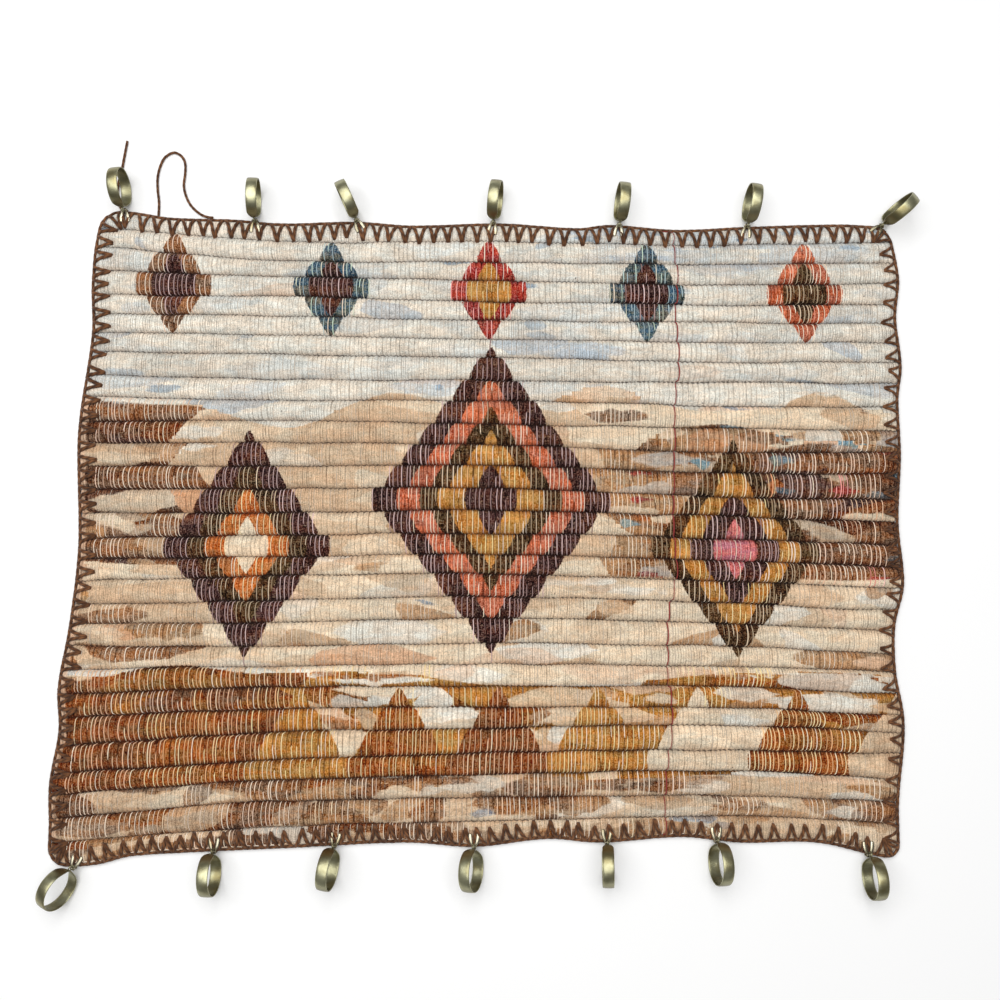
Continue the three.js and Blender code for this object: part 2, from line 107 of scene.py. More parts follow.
VALLEY_STATIONS = (-345, -200, 0, 200, 335)
VALLEYS = (
    (247, 235.5, 235, 232, 235),
    (229, 217.5, 216, 214, 215.5),
    (208, 203, 199, 194.5, 196.5),
    (186, 184, 179, 176, 176),
    (168, 166, 162, 160, 159),
    (150.5, 148.5, 144.5, 142, 141.5),
    (133, 131, 127.5, 124, 123.5),
    (112, 108, 107, 105, 104.5),
    (92, 89, 88.5, 83.5, 82.5),
    (70, 71, 67, 64, 61),
    (51, 51, 48.5, 42.5, 42.5),
    (30, 30, 30, 23.5, 23),
    (9, 9.5, 10, 2, 0),
    (-12, -12, -9.5, -15, -20),
    (-34.5, -31.5, -30, -35, -39.5),
    (-52, -50.5, -48.5, -54.5, -58.5),
    (-71, -67.5, -65.5, -72, -77),
    (-91, -89, -85.5, -91.5, -97),
    (-108.5, -108, -104, -109, -115),
    (-128, -128, -125.5, -128.5, -134.5),
    (-147.5, -145.5, -143.5, -145.5, -150),
    (-168, -163.5, -162.5, -163, -169),
    (-188, -182, -180.5, -181, -186.5),
    (-211, -202, -198, -195.5, -202),
    (-234, -225.5, -218.5, -217, -219.5),
    (-252, -242, -237.5, -234, -241.5),
    (-271.5, -260, -256.5, -255, -260),
    (-291, -281, -276.5, -272, -278.5),
)
RIBS = len(VALLEYS) + 1

# Each clip's place along the edge, its turn from straight out and its ring's lean, in degrees.
CLIPS = {
    "top": ((-341, 4, -3), (-222, 0, 5), (-130, 25, 0), (-6, -8, -5), (108, -5, 4),
            (224, -8, 3), (345.5, -46, 11)),
    "bottom": ((-362, -22, 21), (-243, 0, 5), (-141, -8, 9), (-22, 0, 20), (91, 0, 4),
               (184, 0, -11), (313, 2, -4)),
}

YARN_LOOP_ROUTE = (
    (-261.5, 258.8), (-266.5, 259.4), (-271.5, 261.2), (-277, 265), (-282.5, 270.8),
    (-287, 279.5), (-289.3, 289.5), (-288.5, 300), (-288.8, 310.5), (-292.3, 317.3),
    (-299.3, 320.8), (-307.3, 316.3), (-311.5, 307.5), (-313.5, 297), (-313, 285),
    (-311.4, 273), (-311.4, 260.9),
)
YARN_TAIL_ROUTE = (
    (-344.9, 265.2), (-345.6, 267.2), (-346.9, 269.2), (-348.3, 271.2), (-349.2, 274),
    (-349.5, 277.5), (-349.6, 281), (-349.6, 284.5), (-349.5, 288), (-349.2, 291.5),
    (-348.7, 295), (-348, 298.5), (-347.2, 302), (-346.3, 306), (-345.6, 311), (-344.9, 316),
    (-344.1, 321.5), (-343.3, 327), (-342.6, 331.8),
)

# ---- wool colours, as sRGB

WOOL = {
    "off_white": (232, 226, 212),
    "cool_white": (217, 218, 212),
    "pale_blue": (184, 194, 202),
    "blue": (112, 148, 176),
    "cream": (236, 217, 189),
    "sand": (218, 190, 158),
    "pink_sand": (228, 194, 164),
    "tan": (190, 152, 114),
    "taupe": (152, 116, 88),
    "gold": (196, 142, 76),
    "ochre": (162, 102, 44),
    "rust": (146, 94, 52),
    "brown": (106, 62, 28),
    "umber": (124, 88, 62),
    "plum": (108, 82, 76),
    "peach": (218, 164, 124),
    "pale_teal": (140, 168, 176),
    "teal": (96, 118, 126),
    "coral": (208, 122, 92),
    "orange": (204, 126, 70),
    "red": (180, 78, 70),
    "pink": (210, 126, 132),
    "olive": (90, 64, 30),
    "aubergine": (84, 50, 46),
}
WOOL_NAMES = list(WOOL)


def linear(colour):
    """sRGB from 0 to 255 as the linear numbers that shaders take."""
    share = np.asarray(colour, float) / 255
    return np.where(share <= 0.04045, share / 12.92, ((share + 0.055) / 1.055) ** 2.4)


WOOL_LINEAR = np.array([linear(colour) for colour in WOOL.values()])
PALE = (0.22, 0.5)                # wool goes from dark to pale over this range of linear lightness

# ---- curves and noise


def lerp(a, b, share):
    return a + (b - a) * share


def smoothstep(low, high, value):
    share = np.clip((value - low) / (high - low), 0, 1)
    return share * share * (3 - 2 * share)


@functools.lru_cache(maxsize=None)
def noise_table(seed, size):
    return np.random.default_rng(seed).uniform(-1, 1, (size, size))


def noise(a, b, seed):
    """Smooth random values from -1 to 1 over a plane, one cell to each unit of a and b."""
    size = 256
    table = noise_table(seed, size)
    a, b = np.broadcast_arrays(np.asarray(a, float), np.asarray(b, float))
    i, j = np.floor(a).astype(int), np.floor(b).astype(int)
    s, t = smoothstep(0, 1, a - i), smoothstep(0, 1, b - j)
    near = lerp(table[i % size, j % size], table[(i + 1) % size, j % size], s)
    far = lerp(table[i % size, (j + 1) % size], table[(i + 1) % size, (j + 1) % size], s)
    return lerp(near, far, t)


def curve_through(at, value):
    """A smooth curve through knots, carried on in a straight line past its ends."""
    at, value = np.array(at, float), np.array(value, float)
    last = len(at) - 1
    low = np.maximum(np.arange(last + 1) - 1, 0)
    high = np.minimum(np.arange(last + 1) + 1, last)
    slope = (value[high] - value[low]) / (at[high] - at[low])

    def line(t):
        t = np.asarray(t, float)
        i = np.clip(np.searchsorted(at, t, side="right") - 1, 0, last - 1)
        span = at[i + 1] - at[i]
        s = np.clip((t - at[i]) / span, 0, 1)
        inside = (value[i] + s * s * (3 - 2 * s) * (value[i + 1] - value[i])
                  + s * (1 - s) ** 2 * span * slope[i]
                  - s * s * (1 - s) * span * slope[i + 1])
        return (inside + slope[0] * np.minimum(t - at[0], 0)
                + slope[last] * np.maximum(t - at[last], 0))

    return line


def run_along(points):
    """How far along its line each point is, for one line or for each of several."""
    pieces = np.linalg.norm(np.diff(points, axis=-2), axis=-1)
    return np.insert(np.cumsum(pieces, axis=-1), 0, 0, axis=-1)


def points_at(points, run, at):
    return np.stack([np.interp(at, run, column) for column in points.T], -1)


def resample(points, count):
    """Points evenly along a smooth curve through the given points."""
    points = np.asarray(points, float)
    knots = run_along(points)
    fine = np.linspace(0, knots[-1], 20 * len(points))
    smooth = np.stack([curve_through(knots, column)(fine) for column in points.T], -1)
    run = run_along(smooth)
    return points_at(smooth, run, np.linspace(0, run[-1], count))


def unit(vectors):
    return vectors / np.maximum(np.linalg.norm(vectors, axis=-1, keepdims=True), 1e-9)


def round_angles(count):
    return 2 * np.pi * np.arange(count) / count


# ---- the cloth's outline

edge_lines = {name: curve_through(edge.at, edge.line) for name, edge in EDGES.items()}
valley_lines = [curve_through(VALLEY_STATIONS, heights) for heights in VALLEYS]


def corner_of(level, upright, end):
    """Where a level edge meets an upright one."""
    across, down = edge_lines[upright], edge_lines[level]
    y = EDGES[level].line[end]
    x = across(y)
    for _ in range(5):
        x, y = across(down(x)), down(x)
    return float(x), float(y)


CORNERS = {f"{level}_{upright}": corner_of(level, upright, end)
           for level in ("top", "bottom") for upright, end in (("left", 0), ("right", -1))}


def corner_inset(corner, distance, inset):
    """How far a rounded corner draws the edge in, at this distance from the corner."""
    radius = CORNER_RADIUS[corner] - inset
    across = np.clip(radius - (distance - inset), 0, radius)
    return radius - np.sqrt(np.maximum(radius * radius - across * across, 0))


def edge_at(name, at, inset):
    """Where an edge runs, at this place along it, once the outline is drawn in by inset."""
    edge = EDGES[name]
    first, last = edge.corners
    drawn_in = (inset + corner_inset(first, at - CORNERS[first][edge.axis], inset)
                + corner_inset(last, CORNERS[last][edge.axis] - at, inset))
    return edge_lines[name](at) + edge.inward * drawn_in


def rib_lines(x):
    """Every line between ribs at x, from the wool's top edge down to its bottom edge."""
    valleys = (line(x) + 0.9 * noise(x / 34, rib * 1.7, 51)
               for rib, line in enumerate(valley_lines))
    return np.array([edge_at("top", x, WOOL_INSET), *valleys, edge_at("bottom", x, WOOL_INSET)])


def outline(inset, step):
    """The outline drawn in by inset, clockwise from above: points about step apart, and which
    way is inward at each."""
    halfway = 1 - math.sqrt(0.5)
    parts = []
    for name, forward in (("top", True), ("right", False), ("bottom", False), ("left", True)):
        edge = EDGES[name]
        first, last = (CORNERS[corner][edge.axis]
                       + direction * (inset + halfway * (CORNER_RADIUS[corner] - inset))
                       for corner, direction in zip(edge.corners, (1, -1)))
        at = np.arange(first, last, 0.5) if forward else np.arange(last, first, -0.5)
        part = np.stack([at, edge_at(name, at, inset)], -1)
        parts.append(part[:, ::-1] if edge.axis else part)
    loop = np.concatenate([*parts, parts[0][:1]])
    run = run_along(loop)
    at = np.linspace(0, run[-1], int(run[-1] / step), endpoint=False)
    points = points_at(loop, run, at)
    along = unit(np.roll(points, -2, 0) - np.roll(points, 2, 0))
    return points, np.stack([along[:, 1], -along[:, 0]], -1)


# ---- the wool's heights


def unevenness(rib, x):
    """Small swells and dips of the hand-spun weft, as in the CAD model."""
    return 0.25 * np.sin(x / 37 + rib * 2.1) + 0.2 * np.sin(x / 83 + rib * 4.7)


def rib_rise(across):
    """A rib's rounded section: 0 in its valleys and 1 on its crest."""
    return np.sqrt(np.maximum(1 - np.abs(2 * across - 1) ** 2.5, 0))


def from_outer_edge(rib, across):
    """How far across the first or last rib a point is from the cloth's edge; 1 on other ribs."""
    return np.where(rib == 0, across, np.where(rib == RIBS - 1, 1 - across, 1.0))


def side_rise(x, left, right):
    """0 at the two side edges, rising to 1 as the wool rounds over onto the face."""
    distance = np.minimum(x - left, right - x)
    share = np.clip(1 - distance / 6, 0, 1)
    return np.sqrt(np.maximum(1 - share ** 2.2, 0))


def face_height(rib, across, x):
    """Height of the face, without its pillows. The outermost ribs round over to the edge."""
    crest = CREST + unevenness(rib, x) + 0.25 * noise(x / 14, rib * 3.3, 11)
    height = lerp(VALLEY_FACE, crest, rib_rise(across))
    edge = from_outer_edge(rib, across)
    rounded = ROLL_FOOT + ROLL_RISE * np.sqrt(np.clip(1 - (1 - edge / ROLL_WIDTH) ** 2, 0, 1))
    height = np.where(edge < ROLL_WIDTH, rounded, height)
    return np.where(edge < 1, np.minimum(height, OUTER_CREST), height)


def back_height(rib, across):
    """Height of the underside: its warps lie on the surface under a crest, and it is lifted along
    the outer edges, over the stitches."""
    edge = from_outer_edge(rib, across)
    height = BACK_CREST + VALLEY_BACK * (1 - rib_rise(across))
    return np.maximum(height, BACK_RIM * smoothstep(1.0, 0.1, edge))


def locate(x, y):
    """The rib that a point is on, and how far across it."""
    lines = rib_lines(x)
    rib = np.clip((lines > y).sum(0) - 1, 0, RIBS - 1)
    high = np.take_along_axis(lines, rib[None], 0)[0]
    low = np.take_along_axis(lines, rib[None] + 1, 0)[0]
    return rib, np.clip((high - y) / (high - low), 0, 1)


# ---- meshes


def in_frame(points):
    """The tables' millimetres as the frame's metres."""
    return (np.asarray(points, float) - (*CLOTH_MIDDLE, 0)) * MM


def add_mesh(name, points, faces, material):
    """A new smooth object from points in millimetres and arrays of triangles or quads."""
    points = in_frame(points)
    corners = np.concatenate([part.ravel() for part in faces]).astype(np.int32)
    sizes = np.concatenate([np.full(len(part), part.shape[1]) for part in faces])
    mesh = bpy.data.meshes.new(name)
    mesh.vertices.add(len(points))
    mesh.vertices.foreach_set("co", points.astype(np.float32).ravel())
    mesh.loops.add(len(corners))
    mesh.loops.foreach_set("vertex_index", corners)
    mesh.polygons.add(len(sizes))
    mesh.polygons.foreach_set("loop_start", (np.cumsum(sizes) - sizes).astype(np.int32))
    mesh.update(calc_edges=True)
    mesh.polygons.foreach_set("use_smooth", np.ones(len(sizes), bool))
    mesh.materials.append(material)
    piece = bpy.data.objects.new(name, mesh)
    bpy.context.scene.collection.objects.link(piece)
    return piece


def add_attribute(piece, name, domain, *values):
    """Numbers, or rows of colour, for each point, face or face corner, from one array or more."""
    values = np.concatenate(values).astype(np.float32)
    colour = values.ndim == 2
    if colour and values.shape[1] == 3:
        values = np.pad(values, ((0, 0), (0, 1)), constant_values=1)
    kind, key = ("FLOAT_COLOR", "color") if colour else ("FLOAT", "value")
    piece.data.attributes.new(name, kind, domain).data.foreach_set(key, values.ravel())


def add_map(piece, uv):
    """A layout of the piece's surface, from a place for each face corner."""
    layer = piece.data.uv_layers.new(name="OFBake")
    layer.data.foreach_set("uv", uv.astype(np.float32).ravel())


def at_corners(grid):
    """The values at the four corners of each face of a grid, listed from the top row down."""
    return np.stack([grid[:-1, :-1], grid[1:, :-1], grid[1:, 1:], grid[:-1, 1:]], -1)


def loft(steps, sides, closed=False):
    """The faces of a skin over rings of points: its quads, and a fan over each open end."""
    ring = np.arange(sides)
    follow = (ring + 1) % sides
    span = np.arange(steps if closed else steps - 1)[:, None]
    start, end = span * sides, (span + 1) % steps * sides
    quads = np.stack([start + ring, start + follow, end + follow, end + ring], -1).reshape(-1, 4)
    if closed:
        return [quads]
    fan = np.stack([ring * 0, ring, follow], -1)[1:-1]
    return [quads, fan[:, ::-1], fan + (steps - 1) * sides]


def tube_mesh(paths, radius, sides, pitch=None, lobe=0.2, closed=False):
    """Tubes along paths, an array of (path, point, xyz). With a pitch, the section is two plies
    that turn once in that length. Gives points, faces and how deep in a crease each point is."""
    count, steps = paths.shape[:2]
    if closed:
        along = unit(np.roll(paths, -1, 1) - np.roll(paths, 1, 1))
    else:
        along = unit(np.gradient(paths, axis=1))
    side = unit(np.cross(along, (0.0, 0.0, 1.0)))
    up = np.cross(side, along)
    angle = round_angles(sides)
    crease = np.zeros((count, steps, sides))
    reach = np.broadcast_to(radius, (count, steps))[..., None] * np.ones(sides)
    if pitch:
        run = run_along(paths)
        turns = run[:, -1:] / pitch
        turn = 2 * np.pi * run / run[:, -1:] * (np.round(turns) if closed else turns)
        crease = 0.5 - 0.5 * np.cos(2 * (angle - turn[..., None] / 2))
        reach = reach * (1 - lobe * crease)
    points = (paths[:, :, None] + side[:, :, None] * (np.cos(angle) * reach)[..., None]
              + up[:, :, None] * (np.sin(angle) * reach)[..., None])
    offset = (np.arange(count) * steps * sides)[:, None, None]
    faces = [(part + offset).reshape(-1, part.shape[1]) for part in loft(steps, sides, closed)]
    return points.reshape(-1, 3), faces, crease.ravel()


# ---- materials


class Nodes:
    """A material's nodes, with a short method for each kind that the materials use."""

    def __init__(self, name):
        self.material = bpy.data.materials.new(name)
        self.material.use_nodes = True
        self.tree = self.material.node_tree
        self.shader = self.tree.nodes["Principled BSDF"]

    def set(self, node, values):
        """Link each of a node's inputs to another's output, or give it a fixed value."""
        for key, value in values.items():
            if isinstance(value, bpy.types.NodeSocket):
                self.tree.links.new(value, node.inputs[key])
            else:
                node.inputs[key].default_value = value

    def add(self, kind, inputs, output=0, **settings):
        """A new node's output."""
        node = self.tree.nodes.new("ShaderNode" + kind)
        for key, value in settings.items():
            setattr(node, key, value)
        self.set(node, inputs)
        return node.outputs[output]

    def math(self, operation, a, b):
        return self.add("Math", {0: a, 1: b}, operation=operation)

    def times(self, a, b):
        return self.math("MULTIPLY", a, b)

    def plus(self, a, b):
        return self.math("ADD", a, b)

    def centred(self, value, weight):
        """A value from 0 to 1, moved to lie about 0 and weighted."""
        return self.times(self.math("SUBTRACT", value, 0.5), weight)

    def tone(self, *weighted):
        """1, plus each of these pairs of a value from 0 to 1 and its weight."""
        total = 1.0
        for value, weight in weighted:
            total = self.plus(total, self.centred(value, weight))
        return total

    def mix(self, factor, a, b, blend="MIX"):
        return self.add("Mix", {"Factor": factor, 6: a, 7: b}, 2, data_type="RGBA",
                        blend_type=blend, clamp_factor=True)

    def multiply(self, a, b):
        return self.mix(1.0, a, b, "MULTIPLY")

    def darken(self, factor, colour, by):
        """The colour multiplied by another, as far as factor."""
        return self.mix(factor, colour, self.multiply(colour, by))

    def ramp(self, value, low, high, to_low=0.0, to_high=1.0):
        """value from low to high, eased into the range from to_low to to_high."""
        return self.add("MapRange", {"Value": value, "From Min": low, "From Max": high,
                                     "To Min": to_low, "To Max": to_high},
                        interpolation_type="SMOOTHSTEP")

    def attribute(self, name, output="Fac"):
        return self.add("Attribute", {}, output, attribute_name=name)

    def noise(self, cells, detail=3.0, roughness=0.55, on_map=False):
        """Noise with so many cells to a metre along each axis, or to the layout's whole side."""
        if on_map:
            source = self.add("UVMap", {}, uv_map="OFBake")
        else:
            source = self.add("TexCoord", {}, "Object")
        scale = cells if isinstance(cells, tuple) else (cells, cells, cells)
        place = self.add("Mapping", {"Vector": source, "Scale": scale})
        return self.add("TexNoise", {"Vector": place, "Scale": 1.0, "Detail": detail,
                                     "Roughness": roughness})

    def finish(self, colour, roughness, bump=None, **numbers):
        """The material, with a bump given as its height, strength and distance."""
        self.set(self.shader, {"Base Color": colour, "Roughness": roughness})
        self.set(self.shader, {key.replace("_", " "): value for key, value in numbers.items()})
        if bump:
            inputs = dict(zip(("Height", "Strength", "Distance"), bump))
            self.set(self.shader, {"Normal": self.add("Bump", inputs)})
        return self.material


def rgba(*colour):
    return (*linear(colour), 1.0)


def wool_material():
    """Dyed wool: two motifs' wools that meet at a ragged join, over a ground of three wools laid
    over one another, with painted shade as dark lines at each warp and in the valleys between ribs."""
    n = Nodes("wool_cloth")
    fibre = n.noise((420, 2600, 900), 3, 0.6)
    streak = n.noise((1500, 230, 500), 3, 0.65)
    grain = n.noise(950, 2)
    stray = n.centred(n.noise((260, 1300, 900), 4, 0.7), 4.5)
    ground = n.attribute("ground_low", "Color")
    for layer in ("middle", "top"):
        over = n.ramp(n.plus(n.attribute(f"reach_{layer}"), stray), -0.8, 0.8)
        ground = n.mix(over, ground, n.attribute(f"ground_{layer}", "Color"))
    ragged = n.centred(n.noise((900, 500, 500), 2), 3.2)
    past_join = n.ramp(n.plus(n.attribute("join"), ragged), -0.45, 0.45)
    before, after = (n.mix(n.attribute(name, "Alpha"), ground, n.attribute(name, "Color"))
                     for name in ("wool_before", "wool_after"))
    colour = n.mix(past_join, before, after)
    pale = n.ramp(n.add("RGBToBW", {0: colour}), 0.15, 0.55)

    cloud = n.noise((70, 160, 90), 3, 0.6)
    warmth = n.ramp(n.noise((45, 150, 60), 3, 0.65), 0.38, 0.62)
    on_dark = n.mix(warmth, rgba(255, 226, 196), rgba(226, 236, 250))
    on_pale = n.mix(warmth, rgba(255, 247, 241), rgba(250, 253, 255))
    colour = n.multiply(colour, n.mix(pale, on_dark, on_pale))
    colour = n.multiply(colour, n.tone((fibre, 0.5), (streak, 0.9), (grain, 1.3), (cloud, 0.9)))
    rough_wool = n.tone((grain, 0.6), (streak, 0.4), (fibre, 0.15))
    hairs = n.times(n.math("SUBTRACT", rough_wool, 1.012), n.ramp(pale, 0.0, 1.0, 1.25, 0.25))
    colour = n.mix(1.0, colour, n.multiply(hairs, (1.0, 0.8, 0.62, 1.0)), "ADD")
    carded = n.ramp(n.noise((110, 800, 500), 3, 0.6), 0.58, 0.72, 0.0, 0.3)
    colour = n.mix(carded, colour, rgba(222, 196, 160))

    # Painted shade: dark lines along the groove at each warp, and in some places fainter ones
    # halfway between the warps, darker on dark wool.
    groove = n.attribute("groove")
    crossing = n.times(n.ramp(groove, 0.45, 0.95), n.ramp(pale, 0.4, 1.0, 1.0, 0.3))
    crossing = n.math("MAXIMUM", crossing, n.ramp(groove, 0.70, 1.0, 0.0, 0.85))
    between = n.times(n.ramp(n.math("SUBTRACT", 1.0, groove), 0.74, 1.0, 0.0, 0.8),
                      n.ramp(n.noise((7, 9, 5), 2), 0.42, 0.56))
    faint = n.ramp(n.noise((364, 44, 1), 1, on_map=True), 0.3, 0.7, 0.25, 1.0)
    lines = n.times(n.math("MAXIMUM", crossing, between), faint)
    colour = n.darken(lines, colour, n.mix(pale, rgba(104, 82, 70), rgba(138, 126, 118)))
    # Painted shade: the wool is darkened across the valleys between ribs and in the dents that the
    # stitches press, with a broken near-black line along each valley.
    crevice_shade = n.attribute("crevice_shade")
    shade = n.times(n.ramp(crevice_shade, 0.0, 0.62), n.ramp(pale, 0.0, 1.0, 0.8, 0.25))
    colour = n.darken(shade, colour, rgba(136, 104, 92))
    broken = n.ramp(n.noise((430, 160, 60), 2), 0.34, 0.6, 0.5, 1.0)
    line = n.times(n.ramp(crevice_shade, 0.55, 0.9), broken)
    colour = n.mix(line, colour, n.mix(0.85, colour, rgba(34, 24, 20)))
    speck = n.ramp(n.noise(420, 1), 0.755, 0.785, 0.0, 0.8)
    colour = n.mix(speck, colour, rgba(60, 44, 38))
    return n.finish(colour, 0.95, (n.plus(n.plus(fibre, grain), streak), 0.6, 0.0006),
                    Sheen_Weight=0.06, Sheen_Roughness=0.5, Specular_IOR_Level=0.1)


def thread_material():
    """Spun wool warp, in each thread's own colour, with painted shade where it lies in pale wool.
    """
    n = Nodes("warp_thread")
    tone = n.plus(n.times(n.noise((1500, 900, 900)), 0.5), 0.74)
    colour = n.multiply(n.attribute("dye_and_shade", "Color"), tone)
    return n.finish(colour, 0.9, Sheen_Weight=0.15, Specular_IOR_Level=0.2)


def yarn_material():
    """Two-ply dark brown wool yarn."""
    n = Nodes("brown_yarn")
    patch = n.ramp(n.noise(90), 0.3, 0.7)
    colour = n.mix(patch, rgba(94, 60, 36), rgba(138, 92, 58))
    # Painted shade: the creases between the two plies are darkened.
    colour = n.mix(n.times(n.attribute("crease"), 0.75), colour, rgba(40, 22, 15))
    fibre = n.noise(2600, 3, 0.65)
    colour = n.multiply(colour, n.plus(n.times(fibre, 0.9), 0.55))
    return n.finish(colour, 0.9, (fibre, 0.5, 0.0004), Sheen_Weight=0.2, Sheen_Roughness=0.45,
                    Specular_IOR_Level=0.25)


def metal_material(name, bright, dark, brass, roughness):
    """Plated steel brushed round the band, dulled in places and going brassy, with painted shade
    where a band's ends reflect dark surroundings.
    """
    n = Nodes(name)
    brushed = n.noise((4, 700, 1), 4, 0.6, on_map=True)
    colour = n.mix(n.ramp(n.noise(70), 0.35, 0.68), rgba(*bright), rgba(*dark))
    tarnish = n.ramp(n.noise(45, 4, 0.65), 0.5, 0.66, 0.0, 0.5)
    colour = n.mix(tarnish, colour, rgba(*brass))
    pits = n.ramp(n.noise(1100, 2), 0.68, 0.76, 0.0, 0.55)
    colour = n.mix(pits, colour, rgba(70, 62, 42))
    # Painted shade: each band is darkened towards its two ends, and its eyelet a little, standing
    # in for dark reflections there.
    colour = n.mix(n.times(n.attribute("reflection_shade"), 0.78), colour, rgba(98, 92, 66))
    rough = n.plus(n.times(brushed, 0.16), roughness)
    return n.finish(colour, rough, (brushed, 0.12, 0.0002), Metallic=1.0)


MATERIALS = {
    "wool": wool_material(),
    "thread": thread_material(),
    "yarn": yarn_material(),
    "ring": metal_material("ring_metal", (188, 186, 152), (150, 145, 112), (146, 130, 78), 0.29),
    "clip": metal_material("clip_metal", (196, 190, 168), (150, 142, 118), (150, 128, 82), 0.2),
}

# ---- the woven design

SLANT = 0.75                      # how much of a motif's slope each rib's end follows
BULGE = 2.6                       # how far the wool bulges at a colour's end, in mm

# A stepped motif: its middle in mm and in ribs, its half sizes, its wools from the outside in,
# each with how far it is drawn in from the outermost, and the last rib level that it lies on.
Motif = namedtuple("Motif", "x rib tall wide wools base", defaults=(RIBS,))

TEETH_WOOLS = ("rust", "ochre", "gold", "ochre", "rust", "gold", "cream", "ochre", "sand")
SMALL_WOOLS = (("taupe", "aubergine"), ("teal", "aubergine"), ("red", "gold"),
               ("teal", "aubergine"), ("coral", "olive"))
MOTIFS = [
    *(Motif(-345 + 86 * place, 25.5, 3.4, 44, ((wool, 0),), 25.5)
      for place, wool in enumerate(TEETH_WOOLS)),
    Motif(-8, 13.5, 7, 104, (("aubergine", 0), ("coral", 22), ("olive", 42), ("gold", 58),
                             ("aubergine", 82))),
    Motif(-222, 15.5, 5, 72, (("aubergine", 0), ("olive", 20), ("orange", 36), ("cream", 54))),
    Motif(206, 15.5, 5, 72, (("olive", 0), ("gold", 16), ("aubergine", 34), ("pink", 54))),
    *(Motif(-294 + 142 * place, 3.5, 2.5, 33, ((outer, 0), (inner, 14)))
      for place, (outer, inner) in enumerate(SMALL_WOOLS)),
]


def half_width(motif, rib, across):
    """Half the width of a motif's outermost colour, which its inner ones subtract from."""
    level = rib + 0.5
    if abs(level - motif.rib) > 0.3:
        level = level + SLANT * (across - 0.5)
    bulge = BULGE * (rib_rise(across) - 0.6)
    return motif.wide * (1 - np.abs(level - motif.rib) / motif.tall) + bulge


def spans(rib, across):
    """The motifs' colours on a rib, at this share across it: left, right and colour, with later
    ones over earlier ones."""
    found = []
    for motif in MOTIFS:
        if rib + 0.5 <= motif.base:
            outer = half_width(motif, rib, across)
            for name, drawn_in in motif.wools:
                half = outer - drawn_in
                found.append((motif.x - half, motif.x + half, WOOL_NAMES.index(name)))
    return found


def top_wool(found, x):
    """Which of the spans is on top at x; -1 where none is."""
    wool = np.full(x.shape, -1)
    for left, right, index in found:
        wool = np.where((x > left) & (x < right), index, wool)
    return wool


def joins(grid):
    """For each face of a grid, the wools on either side of the nearest join, and how far past it
    each of the face's corners is."""
    corners = at_corners(grid.x)
    before, after = np.full((2, *corners.shape[:2]), -1)
    past = np.zeros(corners.shape)
    across = grid.across[:, 0]
    for row, rib in enumerate(grid.ribs[:-1, 0]):
        upper, lower = across[row], across[row + 1] or 1.0
        here, above, below = (spans(rib, at) for at in ((upper + lower) / 2, upper, lower))
        shown = [k for k, (left, right, _) in enumerate(here) if right > left + 0.5]
        if not shown:
            continue
        ends, high, low = (np.array([end for k in shown for end in found[k][:2]])
                           for found in (here, above, below))
        nearest = np.abs(corners[row].mean(-1)[:, None] - ends).argmin(1)
        kept = [here[k] for k in shown]
        before[row] = top_wool(kept, ends[nearest] - 0.05)
        after[row] = top_wool(kept, ends[nearest] + 0.05)
        past[row] = corners[row] - np.stack([high, low, low, high], -1)[nearest]
    return before, after, past


# The plain wool between the motifs. Each zone covers some ribs, from one place along them to
# another, in a main wool with lens-shaped patches of others, so many to each 100 mm of a rib and
# each wool with its share of them. Later zones lie over earlier ones, and wander is how many
# ribs their upper and lower edges climb and fall.
Zone = namedtuple("Zone", "ribs x wander main patches wools")
EVERYWHERE = (-430, 430)
ZONES = (
    Zone((-2, 13), EVERYWHERE, 0, "off_white", 2.2, dict(
        cool_white=8, off_white=4, pale_blue=3, blue=2.2, pink_sand=0.4)),
    Zone((-2, 1.2), (60, 300), 0.5, "cool_white", 3, dict(pale_blue=4, blue=3)),
    Zone((9.3, 31), EVERYWHERE, 1.5, "sand", 2, dict(
        cream=6, pink_sand=4, tan=1.2, off_white=2, peach=0.6)),
    Zone((9.5, 16.5), (-430, -275), 0.8, "taupe", 5, dict(
        plum=5, umber=4, cool_white=1, cream=2, sand=3, rust=3, brown=0.6, tan=4)),
    Zone((9, 11), (90, 430), 0.8, "cream", 3, dict(tan=3, off_white=2, pale_blue=2, taupe=2)),
    Zone((10.2, 17.8), (105, 430), 0.9, "tan", 5, dict(
        taupe=4, umber=2, cream=3, cool_white=2, pale_teal=3, rust=2.5, orange=2, red=2, peach=1)),
    Zone((11, 17.2), (225, 430), 0.8, "taupe", 6, dict(
        umber=5, brown=3, taupe=2.4, cream=0.8, cool_white=1, pale_teal=3, rust=3, orange=3,
        red=2.5, plum=3)),
    Zone((16.5, 21.5), EVERYWHERE, 0.8, "cream", 2.5, dict(
        pink_sand=4, sand=5, off_white=4, cool_white=1, peach=1, tan=2.5, blue=0.3)),
    Zone((17.5, 21), (-430, -250), 0.6, "sand", 4, dict(
        peach=4, gold=1.5, cream=3, rust=0.8, tan=2)),
    Zone((21.3, 26.3), (-430, -150), 0.7, "ochre", 4, dict(rust=6, brown=1.5, gold=1.5, umber=1)),
    Zone((21.6, 26.5), (-170, 430), 0.9, "gold", 4.5, dict(
        cream=7, off_white=6, ochre=5, pink_sand=3, tan=2)),
    Zone((26, 31), EVERYWHERE, 0.6, "sand", 4.5, dict(
        tan=4, taupe=3.5, cream=3, off_white=2, rust=1, blue=0.6, umber=2)),
    Zone((25.8, 28.3), (-430, -90), 0.7, "tan", 5, dict(
        rust=4, ochre=3, umber=3, taupe=3, cream=1.5, sand=3, brown=1)),
)
BRIGHT_WOOLS = ("blue", "pale_teal", "orange", "red")   # carded into the rest in small wisps
